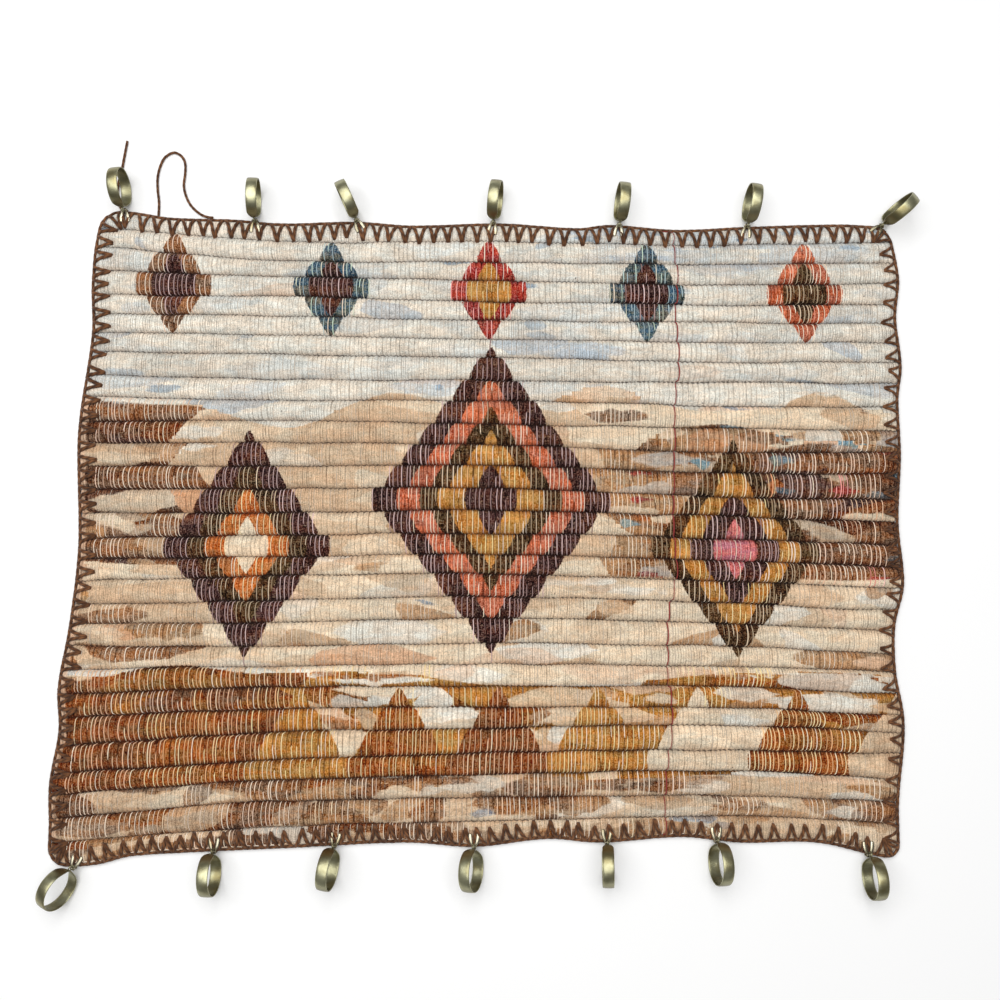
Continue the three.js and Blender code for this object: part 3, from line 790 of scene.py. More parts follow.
FAINT_WOOLS = ("cool_white", "pale_blue", "blue", "pink_sand", "peach")   # laid thinly
RIB_HEIGHT = 19.0
RAGGED = 1.5                      # how far the wool strays over a join between two colours
SELVAGE = SimpleNamespace(wool="pink_sand", width=4.5, ribs=(9, 27))
RUSTY = (0.06, 0.03, 0.012)       # what rusty wool adds to its linear colour


def wool_linear(name):
    return WOOL_LINEAR[WOOL_NAMES.index(name)]


@functools.lru_cache(maxsize=None)
def lens_patches(number):
    """A zone's patches by rib, wisps last, each with its middle, half length, slant, share across
    the rib, half thickness, colour and strength."""
    zone = ZONES[number]
    draw = np.random.default_rng(300 + number)
    left, right = np.clip(zone.x, -400, 375)
    names, shares = list(zone.wools), np.array(list(zone.wools.values()), float)
    found = {}
    for rib in range(max(0, int(zone.ribs[0]) - 1), min(RIBS, int(zone.ribs[1]) + 2)):
        patches, wisps = [], []
        for _ in range(draw.poisson(zone.patches * (right - left) / 100)):
            name = names[draw.choice(len(names), p=shares / shares.sum())]
            wisp = name in BRIGHT_WOOLS
            thick = draw.uniform(*((0.22, 0.4) if wisp else (0.3, 1.0)))
            length = draw.uniform(*((8, 30) if wisp else (14, 66)))
            kind = wisps if wisp else patches
            kind.append((draw.uniform(left, right), length, draw.uniform(-32, 32),
                         draw.uniform(0, 1), thick, wool_linear(name) * draw.uniform(0.88, 1.1),
                         draw.uniform(*((0.3, 0.75) if name in FAINT_WOOLS else (0.45, 1)))))
        found[rib] = patches + wisps
    return found


def zone_reach(zone, seed, rib, across, x):
    """How far inside a zone each point is, in mm. Its level edges cross the ribs in long wedges."""
    (first, last), (left, right) = zone.ribs, zone.x
    level = rib + across
    climb = zone.wander * noise(x / 95, seed + 0.5, seed + 2)
    drift = 40 * noise(rib * 3.7, seed + 0.5, seed + 3)
    drift = drift + 75 * (across - 0.5) * noise(rib * 5.1, 0.5, seed + 4)
    deep = RIB_HEIGHT * np.minimum(level - first + climb, last - level - climb)
    return np.minimum(deep, np.minimum(x - left + drift, right - x + drift))


def covering(faces):
    """What covers most of each face: of its first two wools, and of all three."""
    low, middle, top, first, second = faces
    under = np.where(first.mean(-1)[..., None] > 0, middle, low)
    return under, np.where(second.mean(-1)[..., None] > 0, top, under)


def lay(faces, reach, colour, strength):
    """Lay a wool over a rib's faces, where its reach, in mm, is above 0. A face has three wools,
    each over the one before, and the reaches of the second and third at its corners."""
    corners = at_corners(reach)
    under, shown = covering(faces)
    whole = (corners.min(-1) > RAGGED)[..., None]
    touched = (corners.max(-1) > -RAGGED)[..., None] & ~whole
    low, middle, top = (np.where(whole, lerp(wool, colour, strength), wool) for wool in faces[:3])
    first, second = faces[3:]
    return (np.where(touched, under, low), np.where(touched, faces[2], middle),
            np.where(touched, lerp(shown, colour, strength), top),
            np.where(touched, second, first), np.where(touched, corners, second))


def ground_faces(x, every=1):
    """The heathered ground on each face of a grid of points, as lay describes it."""
    shares = np.array([*ROWS_ACROSS[::every], 1.0])[:, None]
    rows, columns = len(shares) - 1, x.shape[1] - 1
    found = []
    for rib in range(RIBS):
        xs = x[rib * rows:rib * rows + rows + 1]
        wavy = xs + 2.5 * noise(xs / 7, (rib + shares) * 3.3, 27)
        swell = 2.0 * noise(xs / 9, (rib + shares) * 3.1, 29)
        blank, beyond = np.zeros((rows, columns, 3)), np.full((rows, columns, 4), -9.0)
        faces = (blank, blank, blank, beyond, beyond)
        for number, zone in enumerate(ZONES):
            zone_over = zone_reach(zone, 100 + 20 * number, rib, shares, wavy)
            if zone_over.max() < -RAGGED:
                continue
            faces = lay(faces, zone_over, wool_linear(zone.main), 1)
            for patch in lens_patches(number).get(rib, ()):
                middle, length, slant, centre, thick, colour, strength = patch
                along = np.abs(wavy - middle - slant * (shares - 0.5)) / length
                reach = RIB_HEIGHT * (thick * (1 - along ** 1.7) - 0.12 - np.abs(shares - centre))
                swell = -swell
                faces = lay(faces, np.minimum(reach + swell, zone_over), colour, strength)
        if SELVAGE.ribs[0] <= rib <= SELVAGE.ribs[1]:
            stray = 1.5 * noise(xs[:, :1], shares * 3 + rib, 26)
            from_side = SELVAGE.width - (xs - xs[:, :1]) + stray
            faces = lay(faces, from_side, wool_linear(SELVAGE.wool), 0.9)
        tone = 1 + 0.07 * noise(rib * 5.7, 0.5, 28)
        found.append((*(wool * tone for wool in faces[:3]), *faces[3:]))
    return [np.concatenate(parts) for parts in zip(*found)]


def motif_faces(grid):
    """The motifs on each face of a grid: the wools on either side of the nearest join, with no
    cover where there is no motif, and how far past it the face's corners are."""
    before, after, past = joins(grid)
    rib, across, x = np.broadcast_arrays(grid.ribs[:-1], grid.across[:-1], grid.x[:-1, :-1])
    level = rib + across
    tone = 1 + 0.18 * noise(x / 12, level * 2.6, 72) + 0.1 * noise(rib * 4.1, x / 90, 73)
    rusty = smoothstep(0, 0.7, noise(x / 26 + rib * 5.3, level * 1.9, 71))
    wools = [np.concatenate([WOOL_LINEAR[index] * tone[..., None] + rusty[..., None] * RUSTY,
                             (index >= 0)[..., None]], -1) for index in (before, after)]
    return *wools, past


def shown_colours(grid, ground):
    """The colour of whichever wool shows at each point of a grid."""
    ground = np.pad(covering(ground)[1], ((0, 1), (0, 1), (0, 0)), "edge")
    index = np.stack([top_wool(spans(rib, across), x) for rib, across, x
                      in zip(grid.ribs[:, 0], grid.across[:, 0], grid.x)])
    return np.where(index[..., None] >= 0, WOOL_LINEAR[index], ground)


# ---- stitches

# How the blanket stitch runs on each side: the space between stitches, their depth and half
# width at the edge, and the yarn's thickness as a share of the usual.
STITCHING = {
    "top": SimpleNamespace(space=13.4, depth=16.0, mouth=5.8, yarn=1.12),
    "right": SimpleNamespace(space=16.0, depth=12.5, mouth=6.8, yarn=0.94),
    "bottom": SimpleNamespace(space=12.8, depth=14.0, mouth=5.5, yarn=1.06),
    "left": SimpleNamespace(space=13.4, depth=15.5, mouth=5.8, yarn=1.15),
}


def side_of(inward):
    if abs(inward[1]) > abs(inward[0]):
        return "top" if inward[1] < 0 else "bottom"
    return "left" if inward[0] > 0 else "right"


def stitch_legs():
    """The two legs of each stitch, each as a curve's three controls from the edge to the point,
    and how thick its yarn is. They flare at the edge, and the wool between them is round."""
    points, inward = outline(EDGE_YARN.diameter / 2, 1.0)
    draw = np.random.default_rng(5)
    legs, sizes = [], []
    at = 6.0
    while at < len(points) - 8:
        middle = int(at)
        edge, (x, y) = points[middle], inward[middle]
        kind = STITCHING[side_of((x, y))]
        tip = edge + inward[middle] * kind.depth * draw.uniform(0.9, 1.08)
        tip = tip + np.array([-y, x]) * draw.uniform(-1.4, 1.4)
        for direction in (-1, 1):
            mouth = kind.mouth * draw.uniform(0.85, 1.12)
            foot = points[int(middle + direction * mouth) % len(points)]
            bend = edge + 0.42 * (foot - edge) + 0.22 * (tip - edge)
            legs.append((foot, bend, tip + 0.07 * (foot - edge)))
            sizes.append(kind.yarn * draw.uniform(0.92, 1.08))
        at += kind.space * draw.uniform(0.88, 1.12)
    return np.array(legs), np.array(sizes)


LEGS, LEG_SIZES = stitch_legs()


def leg_paths(steps):
    """Points along every leg, from the edge to the stitch's point."""
    share = np.linspace(0, 1, steps + 1)[None, :, None]
    foot, bend, tip = (LEGS[:, k][:, None] for k in range(3))
    return lerp(lerp(foot, bend, share), lerp(bend, tip, share), share)


def nearest_leg(x, y):
    """How far each point is from the nearest stitch."""
    paths = leg_paths(4)
    points = np.stack([x, y], -1)
    best = np.full(len(points), 99.0)
    for start, end in zip(paths[:, :-1].reshape(-1, 2), paths[:, 1:].reshape(-1, 2)):
        along = end - start
        close = np.abs(points - (start + end) / 2).max(1) < 9
        near = points[close]
        share = np.clip(((near - start) @ along) / (along @ along), 0, 1)
        gap = np.hypot(*(near - start - share[:, None] * along).T)
        best[close] = np.minimum(best[close], gap)
    return best


def dent(distance):
    """How far the stitches press the wool down."""
    return DENT * np.exp(-(distance / DENT_REACH) ** 2)


# ---- cloth


def row_ends(rib, across, inset):
    """Where rows of the cloth meet its left and right edges."""
    row = np.arange(len(rib))
    for name in ("left", "right"):
        x = edge_at(name, np.zeros(len(rib)), inset)
        for _ in range(5):
            lines = rib_lines(x)
            x = edge_at(name, lerp(lines[rib, row], lines[rib + 1, row], across), inset)
        yield x[:, None]


def cloth_grid(every=1, every_column=1):
    """The points of the woven grid by row and column, with each row's rib, share across it and
    ends. The warps wander a little, and each end of a row has two more columns."""
    shares = ROWS_ACROSS[::every]
    ribs = np.append(np.repeat(np.arange(RIBS), len(shares)), RIBS - 1)
    across = np.append(np.tile(shares, RIBS), 1.0)
    left, right = row_ends(ribs, across, WOOL_INSET + 1.2 * (1 - rib_rise(across)))
    middles = np.searchsorted(ribs + across, ribs + 0.49)
    ribs, across = ribs[:, None], across[:, None]
    pitch = np.clip(1 + 0.32 * np.random.default_rng(3).standard_normal(WARPS - 1), 0.5, 1.7)
    share = np.insert(np.cumsum(pitch), 0, 0) / pitch.sum()
    from_end = np.minimum(share, 1 - share)
    warps = lerp(left + 3.0, right - 3.0, share)
    upright = 0.9 * smoothstep(0, 0.03, from_end) * (across % 1 > 0)
    warps = lerp(warps, warps[middles], upright)
    away = smoothstep(0, 0.06, from_end)
    warp = np.arange(WARPS)
    bow = 2.6 * (share - 0.5) + 0.8 * noise(ribs * 3.3, warp / 30, 34)
    warps = warps + away * bow * 4 * across * (1 - across)
    warps = warps + away * (1.3 * noise((ribs + across) / 5.5, warp / 15, 31)
                            + 0.35 * noise(ribs * 7.7, warp / 1.7, 32))
    x = np.concatenate([left, left + 0.9, warps, right - 0.9, right], 1)[:, ::every_column]
    lines = rib_lines(x)
    row, column = np.indices(x.shape, sparse=True)
    y = lerp(lines[ribs, row, column], lines[ribs + 1, row, column], across)
    return SimpleNamespace(ribs=ribs, across=across, x=x, y=y, left=left, right=right)


def push(across):
    """How far a pillow pushes up into the rib above, less how far into the rib below."""
    return np.clip(1 - across / 0.4, 0, 1) - np.clip(1 - (1 - across) / 0.4, 0, 1)


def seam(front, under, every, flip):
    """Triangles between a run of face points and the sparser run under it."""
    low, high = under[:-1], under[1:]
    found = [np.stack([front[k:-1:every], low if k < every // 2 else high, front[k + 1::every]], -1)
             for k in range(every)]
    found = np.concatenate([*found, np.stack([front[every // 2:-1:every], low, high], -1)])
    return found[:, ::-1] if flip else found


def build_cloth():
    """The woven cloth: its face, its sparser underside and the rim between them, with the wools on
    its faces. Also gives the face's grid of x, y, z and the wool that shows."""
    face, back = cloth_grid(), cloth_grid(BACK_ROWS, BACK_COLUMNS)
    x, across = face.x, face.across
    level = face.ribs + across
    columns = np.arange(x.shape[1])
    inner = (level > 0.5) & (level < RIBS - 0.5)
    phase = np.where((columns + face.ribs) % 2 == 0, -1.0, 1.0)    # -1 where a warp crosses
    phase[:, [0, 1, -2, -1]] = 0
    y = face.y + inner * ZIGZAG * phase * push(across)

    ground = ground_faces(x)
    shown = shown_colours(face, ground)
    pale = smoothstep(*PALE, shown.mean(-1))
    rise = rib_rise(across)
    pillow = PILLOW * (1 - 0.45 * pale) * phase * np.minimum(rise * 1.6, 1)
    lump = 0.22 * noise(face.ribs * 9.1 + across * 2, columns / 1.3, 33) * rise
    z = face_height(face.ribs, across, x) + pillow + lump
    from_sides = side_rise(x, face.left, face.right)
    border = (level < 1.4) | (level > RIBS - 1.4) | (x - face.left < 20) | (face.right - x < 18)
    pressed = np.zeros(x.shape)
    pressed[border] = dent(nearest_leg(x[border], y[border]))
    z = np.maximum(lerp(RIM, z, from_sides) - pressed * from_sides, RIM)
    z[[0, -1]] = RIM

    lifted = 1.5 * smoothstep(18, 8, np.minimum(back.x - back.left, back.right - back.x))
    z_back = np.maximum(back_height(back.ribs, back.across), lifted)
    z_back = lerp(BACK_RIM, z_back, side_rise(back.x, back.left, back.right))

    on_face = np.arange(x.size).reshape(x.shape)
    under = x.size + np.arange(back.x.size).reshape(back.x.shape)
    rim = np.concatenate([seam(on_face[:, 0], under[:, 0], BACK_ROWS, False),
                          seam(on_face[:, -1], under[:, -1], BACK_ROWS, True),
                          seam(on_face[0], under[0], BACK_COLUMNS, True),
                          seam(on_face[-1], under[-1], BACK_COLUMNS, False)])
    points = np.concatenate([np.stack([x, y, z], -1).reshape(-1, 3),
                             np.stack([back.x, back.y, z_back], -1).reshape(-1, 3)])
    quads = at_corners(on_face).reshape(-1, 4), at_corners(under).reshape(-1, 4)[:, ::-1]
    piece = add_mesh("woven_cloth", points, [*quads, rim], MATERIALS["wool"])

    sides = [(*motif_faces(face), *ground), (*motif_faces(back), *ground_faces(back.x, BACK_ROWS))]
    names = ("wool_before", "wool_after", "join", "ground_low", "ground_middle", "ground_top",
             "reach_middle", "reach_top")
    for name, above, below in zip(names, *sides):
        if name.startswith(("wool", "ground")):
            width = above.shape[-1]
            on_rim = np.zeros(4) if name.startswith("wool") else wool_linear("sand")
            add_attribute(piece, name, "FACE", above.reshape(-1, width), below.reshape(-1, width),
                          np.tile(on_rim, (len(rim), 1)))
        else:
            add_attribute(piece, name, "CORNER", above.ravel(), below[..., ::-1].ravel(),
                          np.zeros(rim.size))
    # groove marks the columns where a warp crosses, for the painted shade along the grooves.
    add_attribute(piece, "groove", "POINT", ((1 - phase) / 2).ravel(), np.full(back.x.size, 0.4))
    # How much painted shade the wool takes: most on the lines between ribs, fading over each rib's
    # edge, and in the dents that the stitches press.
    crevice_shade = np.interp(np.minimum(across, 1 - across), (0, 0.055, 0.15, 0.3), (1, 0.5, 0.2, 0))
    crevice_shade = np.maximum(crevice_shade * inner, 0.75 * np.clip(pressed / DENT, 0, 1))
    crevice_shade_back = np.broadcast_to(back.across % 1 == 0, back.x.shape)
    add_attribute(piece, "crevice_shade", "POINT", crevice_shade.ravel(), crevice_shade_back.ravel())
    bake_map(piece, x.shape, back.x.shape, rim.size)
    return piece, (x, y, z, shown)


def bake_map(piece, face_shape, back_shape, rim_corners):
    """The face laid out over most of the map, and the back and the rim in the strip below it."""
    places = []
    for (rows, columns), low, high in ((face_shape, 0.24, 0.995), (back_shape, 0.005, 0.225)):
        v, u = np.meshgrid(np.linspace(high, low, rows), np.linspace(0.005, 0.995, columns),
                           indexing="ij")
        places.append(np.stack([u.ravel(), v.ravel()], -1))
    corners = np.empty(len(piece.data.loops), np.int32)
    piece.data.loops.foreach_get("vertex_index", corners)
    uv = np.concatenate(places)[corners]
    uv[-rim_corners:] = (0.5, 0.232)
    add_map(piece, uv)


# ---- warp threads

SIDE_COLUMNS = 7                  # columns at each side that have no warp over them
DYE_BLEND = 0.45                  # the wool's colour and the thread's are added at this power
LOST, LOST_PALE = 0.05, 0.15      # the share of warps lost in dark wool, and how many more in pale
SINKING = 0.22                    # the share of them that sink into the wool at one end


def thread_colour_and_shade(draw, around, pale, red):
    """Cream tinged with the wool around it, dulled where that is pale as painted shade, and one
    pair dyed red.
    """
    lift = np.clip(draw.normal(0.44, 0.1, len(pale)), 0.15, 0.65)[:, None]
    cream = linear((255, 235, 212)) ** DYE_BLEND
    colour = np.minimum(around ** DYE_BLEND + lift, cream) ** (1 / DYE_BLEND)
    # Painted shade: over pale wool the thread is dulled towards tan, for the shade of the groove
    # that it lies in.
    colour = lerp(colour, linear((186, 172, 156)), 0.85 * smoothstep(0.4, 1, pale)[:, None])
    colour[red] = linear((150, 54, 50))
    return colour


def build_threads(name, woven, on_face, steps):
    """The stretches of warp that cross the ribs on one side, each in its own groove. A few are
    lost in the wool, more of them where it is pale, and some sink into it at one end."""
    *place, shown = woven
    rows = len(ROWS_ACROSS)
    paths, dyes_and_shade, sizes = [], [], []
    draw = np.random.default_rng(9 if on_face else 10)
    run = np.linspace(0, rows, steps + 1)
    row = np.minimum(run.astype(int), rows - 1)
    past = (run - row)[:, None]
    along = (run / rows)[:, None]
    for rib in range(RIBS) if on_face else range(1, RIBS - 1):
        span = slice(rib * rows, rib * rows + rows + 1)
        columns = np.arange(SIDE_COLUMNS + (rib + on_face) % 2, shown.shape[1] - SIDE_COLUMNS, 2)
        around = shown[span][rows // 2, columns]
        pale = smoothstep(*PALE, around.mean(-1))
        red = (columns == RED_WARP) | (columns == RED_WARP + 1)
        kept = (draw.uniform(size=len(columns)) > LOST + LOST_PALE * pale) | red
        columns, around, pale, red = columns[kept], around[kept], pale[kept], red[kept]
        count = len(columns)
        x, y, z = (lerp(grid[span][row][:, columns], grid[span][row + 1][:, columns], past)
                   for grid in place)
        x = x + draw.normal(0, 0.3, count) * (along - 0.5)
        x = x + RED_APART * (columns == RED_WARP) - RED_APART * (columns == RED_WARP + 1)
        if on_face:
            sinks = (draw.uniform(size=count) < SINKING) & ~red
            end = np.where(draw.uniform(size=count) < 0.5, along, 1 - along)
            z = z + draw.uniform(0.2, 0.6, count) - 0.55 * pale * ~red + RED_PROUD * red
            z = z - 1.5 * sinks * smoothstep(0.35, 0.75, end)
            z[[0, -1]] -= 0.4 * ~red
        else:
            z = BACK_CREST + 0.4 + 1.6 * (1 - rib_rise(along)) + 0 * z
        paths.append(np.stack([x, y, z], -1).transpose(1, 0, 2))
        dyes_and_shade.append(thread_colour_and_shade(draw, around, pale, red))
        size = THREAD / 2 * draw.uniform(0.7, 1.3, count)
        sizes.append(size * (1 - 0.2 * pale) * (1 + 0.3 * red))
    radius = np.concatenate(sizes)[:, None]
    points, faces, _ = tube_mesh(np.concatenate(paths), radius, 3)
    piece = add_mesh(name, points, faces, MATERIALS["thread"])
    add_attribute(piece, "dye_and_shade", "POINT", np.repeat(np.concatenate(dyes_and_shade), (steps + 1) * 3, 0))
    return piece


# ---- edging, stitches and loose yarn


def dress(piece, slot, *nodes):
    """Carry a piece on the body, in the place of these nodes of the CAD model."""
    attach(piece, "root")
    if nodes:
        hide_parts(*nodes)


def add_yarn(name, paths, radius, sides, pitch, lobe=0.2, closed=False):
    points, faces, crease = tube_mesh(paths, radius, sides, pitch, lobe, closed)
    piece = add_mesh(name, points, faces, MATERIALS["yarn"])
    # crease is how deep each point lies between the plies, for the painted shade in the yarn
    # material.
    add_attribute(piece, "crease", "POINT", crease)
    return piece


def build_edging():
    """The yarn that runs all round the outer edge."""
    points, _ = outline(EDGE_YARN.diameter / 2, 1.2)
    run = np.arange(len(points))
    z = EDGE_YARN.z + 0.25 * noise(run / 9, 0.5, 41)
    radius = EDGE_YARN.diameter / 2 * (1 + 0.08 * noise(run / 5, 1.5, 42))
    return add_yarn("edging", np.column_stack([points, z])[None], radius[None], 8,
                    EDGE_YARN.pitch, closed=True)


def build_stitches(name, on_face, steps, sides):
    """Each stitch's legs: from under the edging, over the wool and down into it at the point."""
    share = np.linspace(0, 1, steps + 1)
    x, y = np.moveaxis(leg_paths(steps), -1, 0)
    taper = 1 - 0.12 * smoothstep(0.8, 1.0, share)
    radius = STITCH_YARN.diameter / 2 * LEG_SIZES[:, None] * taper
    if on_face:
        rib, across = locate(x, y)
        left, right = (edge_at(side, y, WOOL_INSET) for side in ("left", "right"))
        height = lerp(RIM, face_height(rib, across, x), side_rise(x, left, right))
        z = np.maximum(height - 0.55 * DENT, VALLEY_FACE + 1.2) + radius * 0.55
        z = z - 2.2 * smoothstep(0.84, 1.0, share)
        z = lerp(EDGE_YARN.z, z, smoothstep(0, 0.22, share))
    else:
        z = lerp(EDGE_YARN.z, radius + 0.05, smoothstep(0, 0.25, share))
        z = z + 1.0 * smoothstep(0.85, 1.0, share)
    return add_yarn(name, np.stack([x, y, z], -1), radius, sides, STITCH_YARN.pitch)


def build_loose_yarn(name, route, node):
    """A slack end or loop of the edging's yarn, lying on the surface."""
    points = np.array([(x, y, LOOSE_YARN.z) for x, y in route])
    path = resample(points, int(run_along(points)[-1] / 0.9))
    piece = add_yarn(name, path[None], LOOSE_YARN.diameter / 2, 10, LOOSE_YARN.pitch, 0.12)
    place = in_frame(path)
    dress(piece, "brown_yarn", node)
    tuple(place[0])


# ---- rings and clips

EYELET_REACH = RING.radius + RING.eyelet_radius - RING.wall / 2
EYELET_Y = EYELET_REACH * math.cos(math.radians(RING.eyelet_angle))   # from the ring's centre
EYELET_Z = EYELET_REACH * math.sin(math.radians(RING.eyelet_angle))


def strip(route, widths, thickness=CLIP.sheet, sections=4):
    """A closed flat strip with rounded edges along a route of (x, y, z) points, lying level
    across its width."""
    count = sections * (len(route) - 1) + 1
    route = resample(route, count)
    share = np.linspace(0, 1, count)
    width = np.interp(share, np.linspace(0, 1, len(widths)), widths)[:, None]
    along = unit(np.gradient(route, axis=0))
    side = np.cross(along, (0.0, 0.0, 1.0))
    level = np.linalg.norm(side, axis=1, keepdims=True)
    side = np.where(level > 0.2, side / np.maximum(level, 1e-6), (1.0, 0.0, 0.0))
    up = np.cross(side, along)
    place, rise = np.array([(-1, 0), (-1, 1), (0, 1), (1, 1), (1, 0), (1, -1), (0, -1), (-1, -1)]).T
    out = place * (width - 0.8 * thickness * np.abs(rise)) / 2
    height = rise[:, None] * thickness / 2
    points = route[:, None] + side[:, None] * out[..., None] + up[:, None] * height
    return points.reshape(-1, 3), [part[:, ::-1] for part in loft(count, len(place))]


def turned(across, radius):
    """A skin all round the local X axis, from how far along the axis and out from it each point of
    its section is, at each turn."""
    angle = round_angles(len(across))[:, None]
    points = np.stack([across, radius * np.cos(angle), radius * np.sin(angle)], -1)
    return points.reshape(-1, 3), loft(*across.shape, closed=True)


def eye(radius, wire, axis, centre):
    """A round wire eye about the local X or Y axis."""
    section = round_angles(EYE_SIDES)
    points, (quads,) = turned(np.tile(wire * np.sin(section), (EYE_TURNS, 1)),
                              radius + wire * np.cos(section))
    if axis == "x":
        return points + centre, [quads[:, ::-1]]
    return points[:, [1, 0, 2]] + centre, [quads]


def join_shapes(*shapes):
    """Points and faces of several shapes as one."""
    starts = np.cumsum([0, *(len(points) for points, _ in shapes)])
    return (np.concatenate([points for points, _ in shapes]),
            [part + start for start, (_, faces) in zip(starts, shapes) for part in faces])


def ring_shape():
    """A flat band bent into a ring about the local X axis, narrowing to a neck at its eyelet, and
    its layout: the band unrolled, round the ring along u and round its section along v."""
    angle = round_angles(RING.turns)
    eyelet = math.radians(180 + RING.eyelet_angle)
    from_eyelet = np.abs((angle - eyelet + np.pi) % (2 * np.pi) - np.pi)
    opening = smoothstep(0, math.radians(RING.neck_reach), from_eyelet)
    half = lerp(RING.neck, RING.width, opening)[:, None] / 2
    place = np.array([-1.0, -0.9, -0.5, 0.0, 0.5, 0.9, 1.0])
    rounded = 0.18 * (np.abs(place) == 1)
    depth = np.concatenate([-0.35 * place ** 2 - rounded, -RING.wall - 0.1 * place ** 2 + rounded])
    points, faces = turned(half * np.concatenate([place, place[::-1]]), RING.radius + depth)
    band = points + (0, EYELET_Y, EYELET_Z), faces
    uv = np.concatenate([loft_map(RING.turns, len(depth), 0.0, 0.9),
                         loft_map(EYE_TURNS, EYE_SIDES, 0.92, 0.99)[:, ::-1]])
    return join_shapes(band, eye(RING.eyelet_radius, RING.wire, "x", 0)), uv


def loft_map(turns, sides, low, high):
    """A closed loft's faces, unrolled across the whole map from low to high."""
    turn, side = np.indices((turns, sides)).reshape(2, -1, 1)
    u = (turn + [0, 0, 1, 1]) / turns / 1.01
    v = low + (side + [0, 1, 1, 0]) / sides * (high - low)
    return np.stack([u, v], -1)


def clip_shape():
    """Two prongs that fork from a small loop, a heel round the cloth's edge and a jaw under it."""
    middle, under = CLIP.front + CLIP.sheet / 2, CLIP.back + CLIP.sheet / 2
    prongs = [strip([(side * 0.9, 0.65, middle), (side * 1.2, -2.0, middle + 0.1),
                     (side * 2.4, -4.6, middle + 0.15), (side * 3.2, -8.0, middle),
                     (side * 3.4, -CLIP.reach, middle - 0.35)], (1.8, 2.2, 3.0, 3.2, 2.4))
              for side in (-1, 1)]
    heel = strip([(0, 0.65, middle), (0, 0.68, 5.0), (0, 0.65, under)], (CLIP.jaw, CLIP.jaw))
    jaw = strip([(0, 0.9, under), (0, -CLIP.back_reach, under)], (CLIP.jaw, CLIP.jaw))
    loop_at = (0, RING.stand_off - EYELET_Y, CLIP.loop_top - CLIP.loop_radius)
    return join_shapes(*prongs, heel, jaw, eye(CLIP.loop_radius, CLIP.wire, "y", loop_at))


def clip_place(edge, x, turn):
    """Where a clip bites, turned to its own direction and clear of the edging."""
    slope = math.atan2(edge_at(edge, x + 1, 0) - edge_at(edge, x - 1, 0), 2)
    clearance = 2 * math.tan(abs(math.radians(turn) - slope))
    turned = Matrix.Rotation(math.radians(turn) + (0 if edge == "top" else math.pi), 4, "Z")
    return (Matrix.Translation((x, float(edge_at(edge, x, 0)), 0)) @ turned
            @ Matrix.Translation((0, clearance, 0)))


def ring_place(lean):
    """Where a ring stands from its clip, leaning on one edge of its band."""
    lean = math.radians(lean)
    level = RING.radius * math.cos(math.pi / RING.sections) - EYELET_Z
    height = level * math.cos(lean) + RING.width / 2 * math.sin(abs(lean))
    return (Matrix.Translation((0, RING.stand_off - EYELET_Y, height))
            @ Matrix.Rotation(lean, 4, "Y"))


def placed(points, matrix):
    return points @ np.array(matrix)[:3, :3].T + np.array(matrix.translation)


def build_rings():
    """A band and a clasp in the place of each of the CAD model's rings and clips."""
    (ring_points, ring_faces), uv = ring_shape()
    clip_points, clip_faces = clip_shape()
    sides = len(ring_faces[0]) // RING.turns
    # Painted shade for the metal: strongest at the band's two ends, where it stands in for dark
    # reflections, and a little on the eyelet.
    reflection_shade = smoothstep(0.5, 0.95, np.abs(np.cos(round_angles(RING.turns)))).repeat(sides)
    eyelet = np.full(EYE_TURNS * EYE_SIDES, 0.4)
    for edge, rows in CLIPS.items():
        for number, (x, turn, lean) in enumerate(rows, 1):
            at = clip_place(edge, x, turn)
            band = add_mesh(f"band_{edge}_{number}", placed(ring_points, at @ ring_place(lean)),
                            ring_faces, MATERIALS["ring"])
            add_map(band, uv)
            add_attribute(band, "reflection_shade", "POINT", reflection_shade, eyelet)
            dress(band, "ring_metal", f"ring_{edge}_{number}")
            clasp = add_mesh(f"clasp_{edge}_{number}", placed(clip_points, at), clip_faces,
                             MATERIALS["clip"])
            dress(clasp, "clip_metal", f"clip_{edge}_{number}")


# ---- camera, light and floor


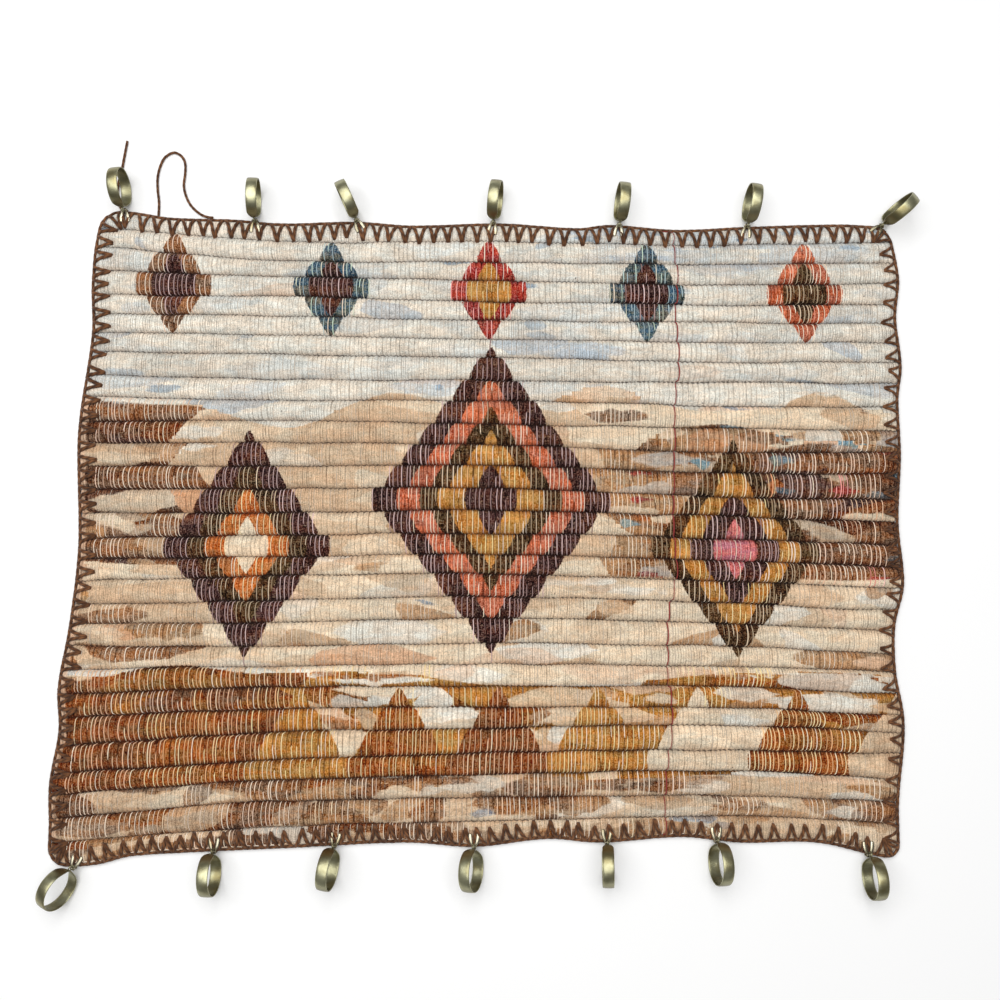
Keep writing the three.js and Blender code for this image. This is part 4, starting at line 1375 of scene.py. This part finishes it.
def build_stage():
    """The camera at the photograph's angle, one large soft light, the world and a pale floor."""
    scene = bpy.context.scene
    camera = bpy.data.objects.new("camera", bpy.data.cameras.new("camera"))
    camera.location = in_frame((0, -105.9, 944.1))
    look = Vector(in_frame((0, 0, 0))) - camera.location
    camera.rotation_euler = look.to_track_quat("-Z", "Y").to_euler()
    camera.data.angle = math.radians(50)
    scene.collection.objects.link(camera)
    scene.camera = camera

    light = bpy.data.objects.new("softbox", bpy.data.lights.new("softbox", "AREA"))
    light.data.size = 2.6
    light.data.energy = 61
    light.location = (-0.26, 0.34, 2.1)
    light.rotation_euler = (-light.location).to_track_quat("-Z", "Y").to_euler()
    scene.collection.objects.link(light)

    world = bpy.data.worlds.new("studio")
    world.use_nodes = True
    background = world.node_tree.nodes["Background"]
    background.inputs["Color"].default_value = (0.99, 0.99, 1.0, 1.0)
    background.inputs["Strength"].default_value = 0.20
    scene.world = world
    scene.view_settings.view_transform = "Standard"

    n = Nodes("floor")
    shade = n.mix(n.noise(3, 2), rgba(253, 253, 252), rgba(255, 255, 255))
    material = n.finish(shade, 0.9, Specular_IOR_Level=0.1)
    size, drop = 4000.0, -0.05
    corners = [(-size, size, drop), (-size, -size, drop), (size, -size, drop), (size, size, drop)]
    add_mesh("floor", corners, [np.array([[0, 1, 2, 3]])], material)


# ---- assembly

build_stage()
build_loose_yarn("slack_loop", YARN_LOOP_ROUTE, "yarn_loop")
build_loose_yarn("slack_tail", YARN_TAIL_ROUTE, "yarn_tail")

cloth, woven = build_cloth()
dress(cloth, "wool_cloth", "cloth")
edging = build_edging()
dress(edging, "brown_yarn", *(f"edge_yarn_{side}" for side in ("top", "right", "bottom", "left")))

on_cloth = [
    build_threads("warp_front", woven, True, 7),
    build_threads("warp_back", woven, False, 3),
    build_stitches("stitches_front", True, 14, 8),
    build_stitches("stitches_back", False, 8, 6),
]
for piece, slot in zip(on_cloth, ("wool_cloth", "wool_cloth", "brown_yarn", "brown_yarn")):
    dress(piece, slot)

build_rings()
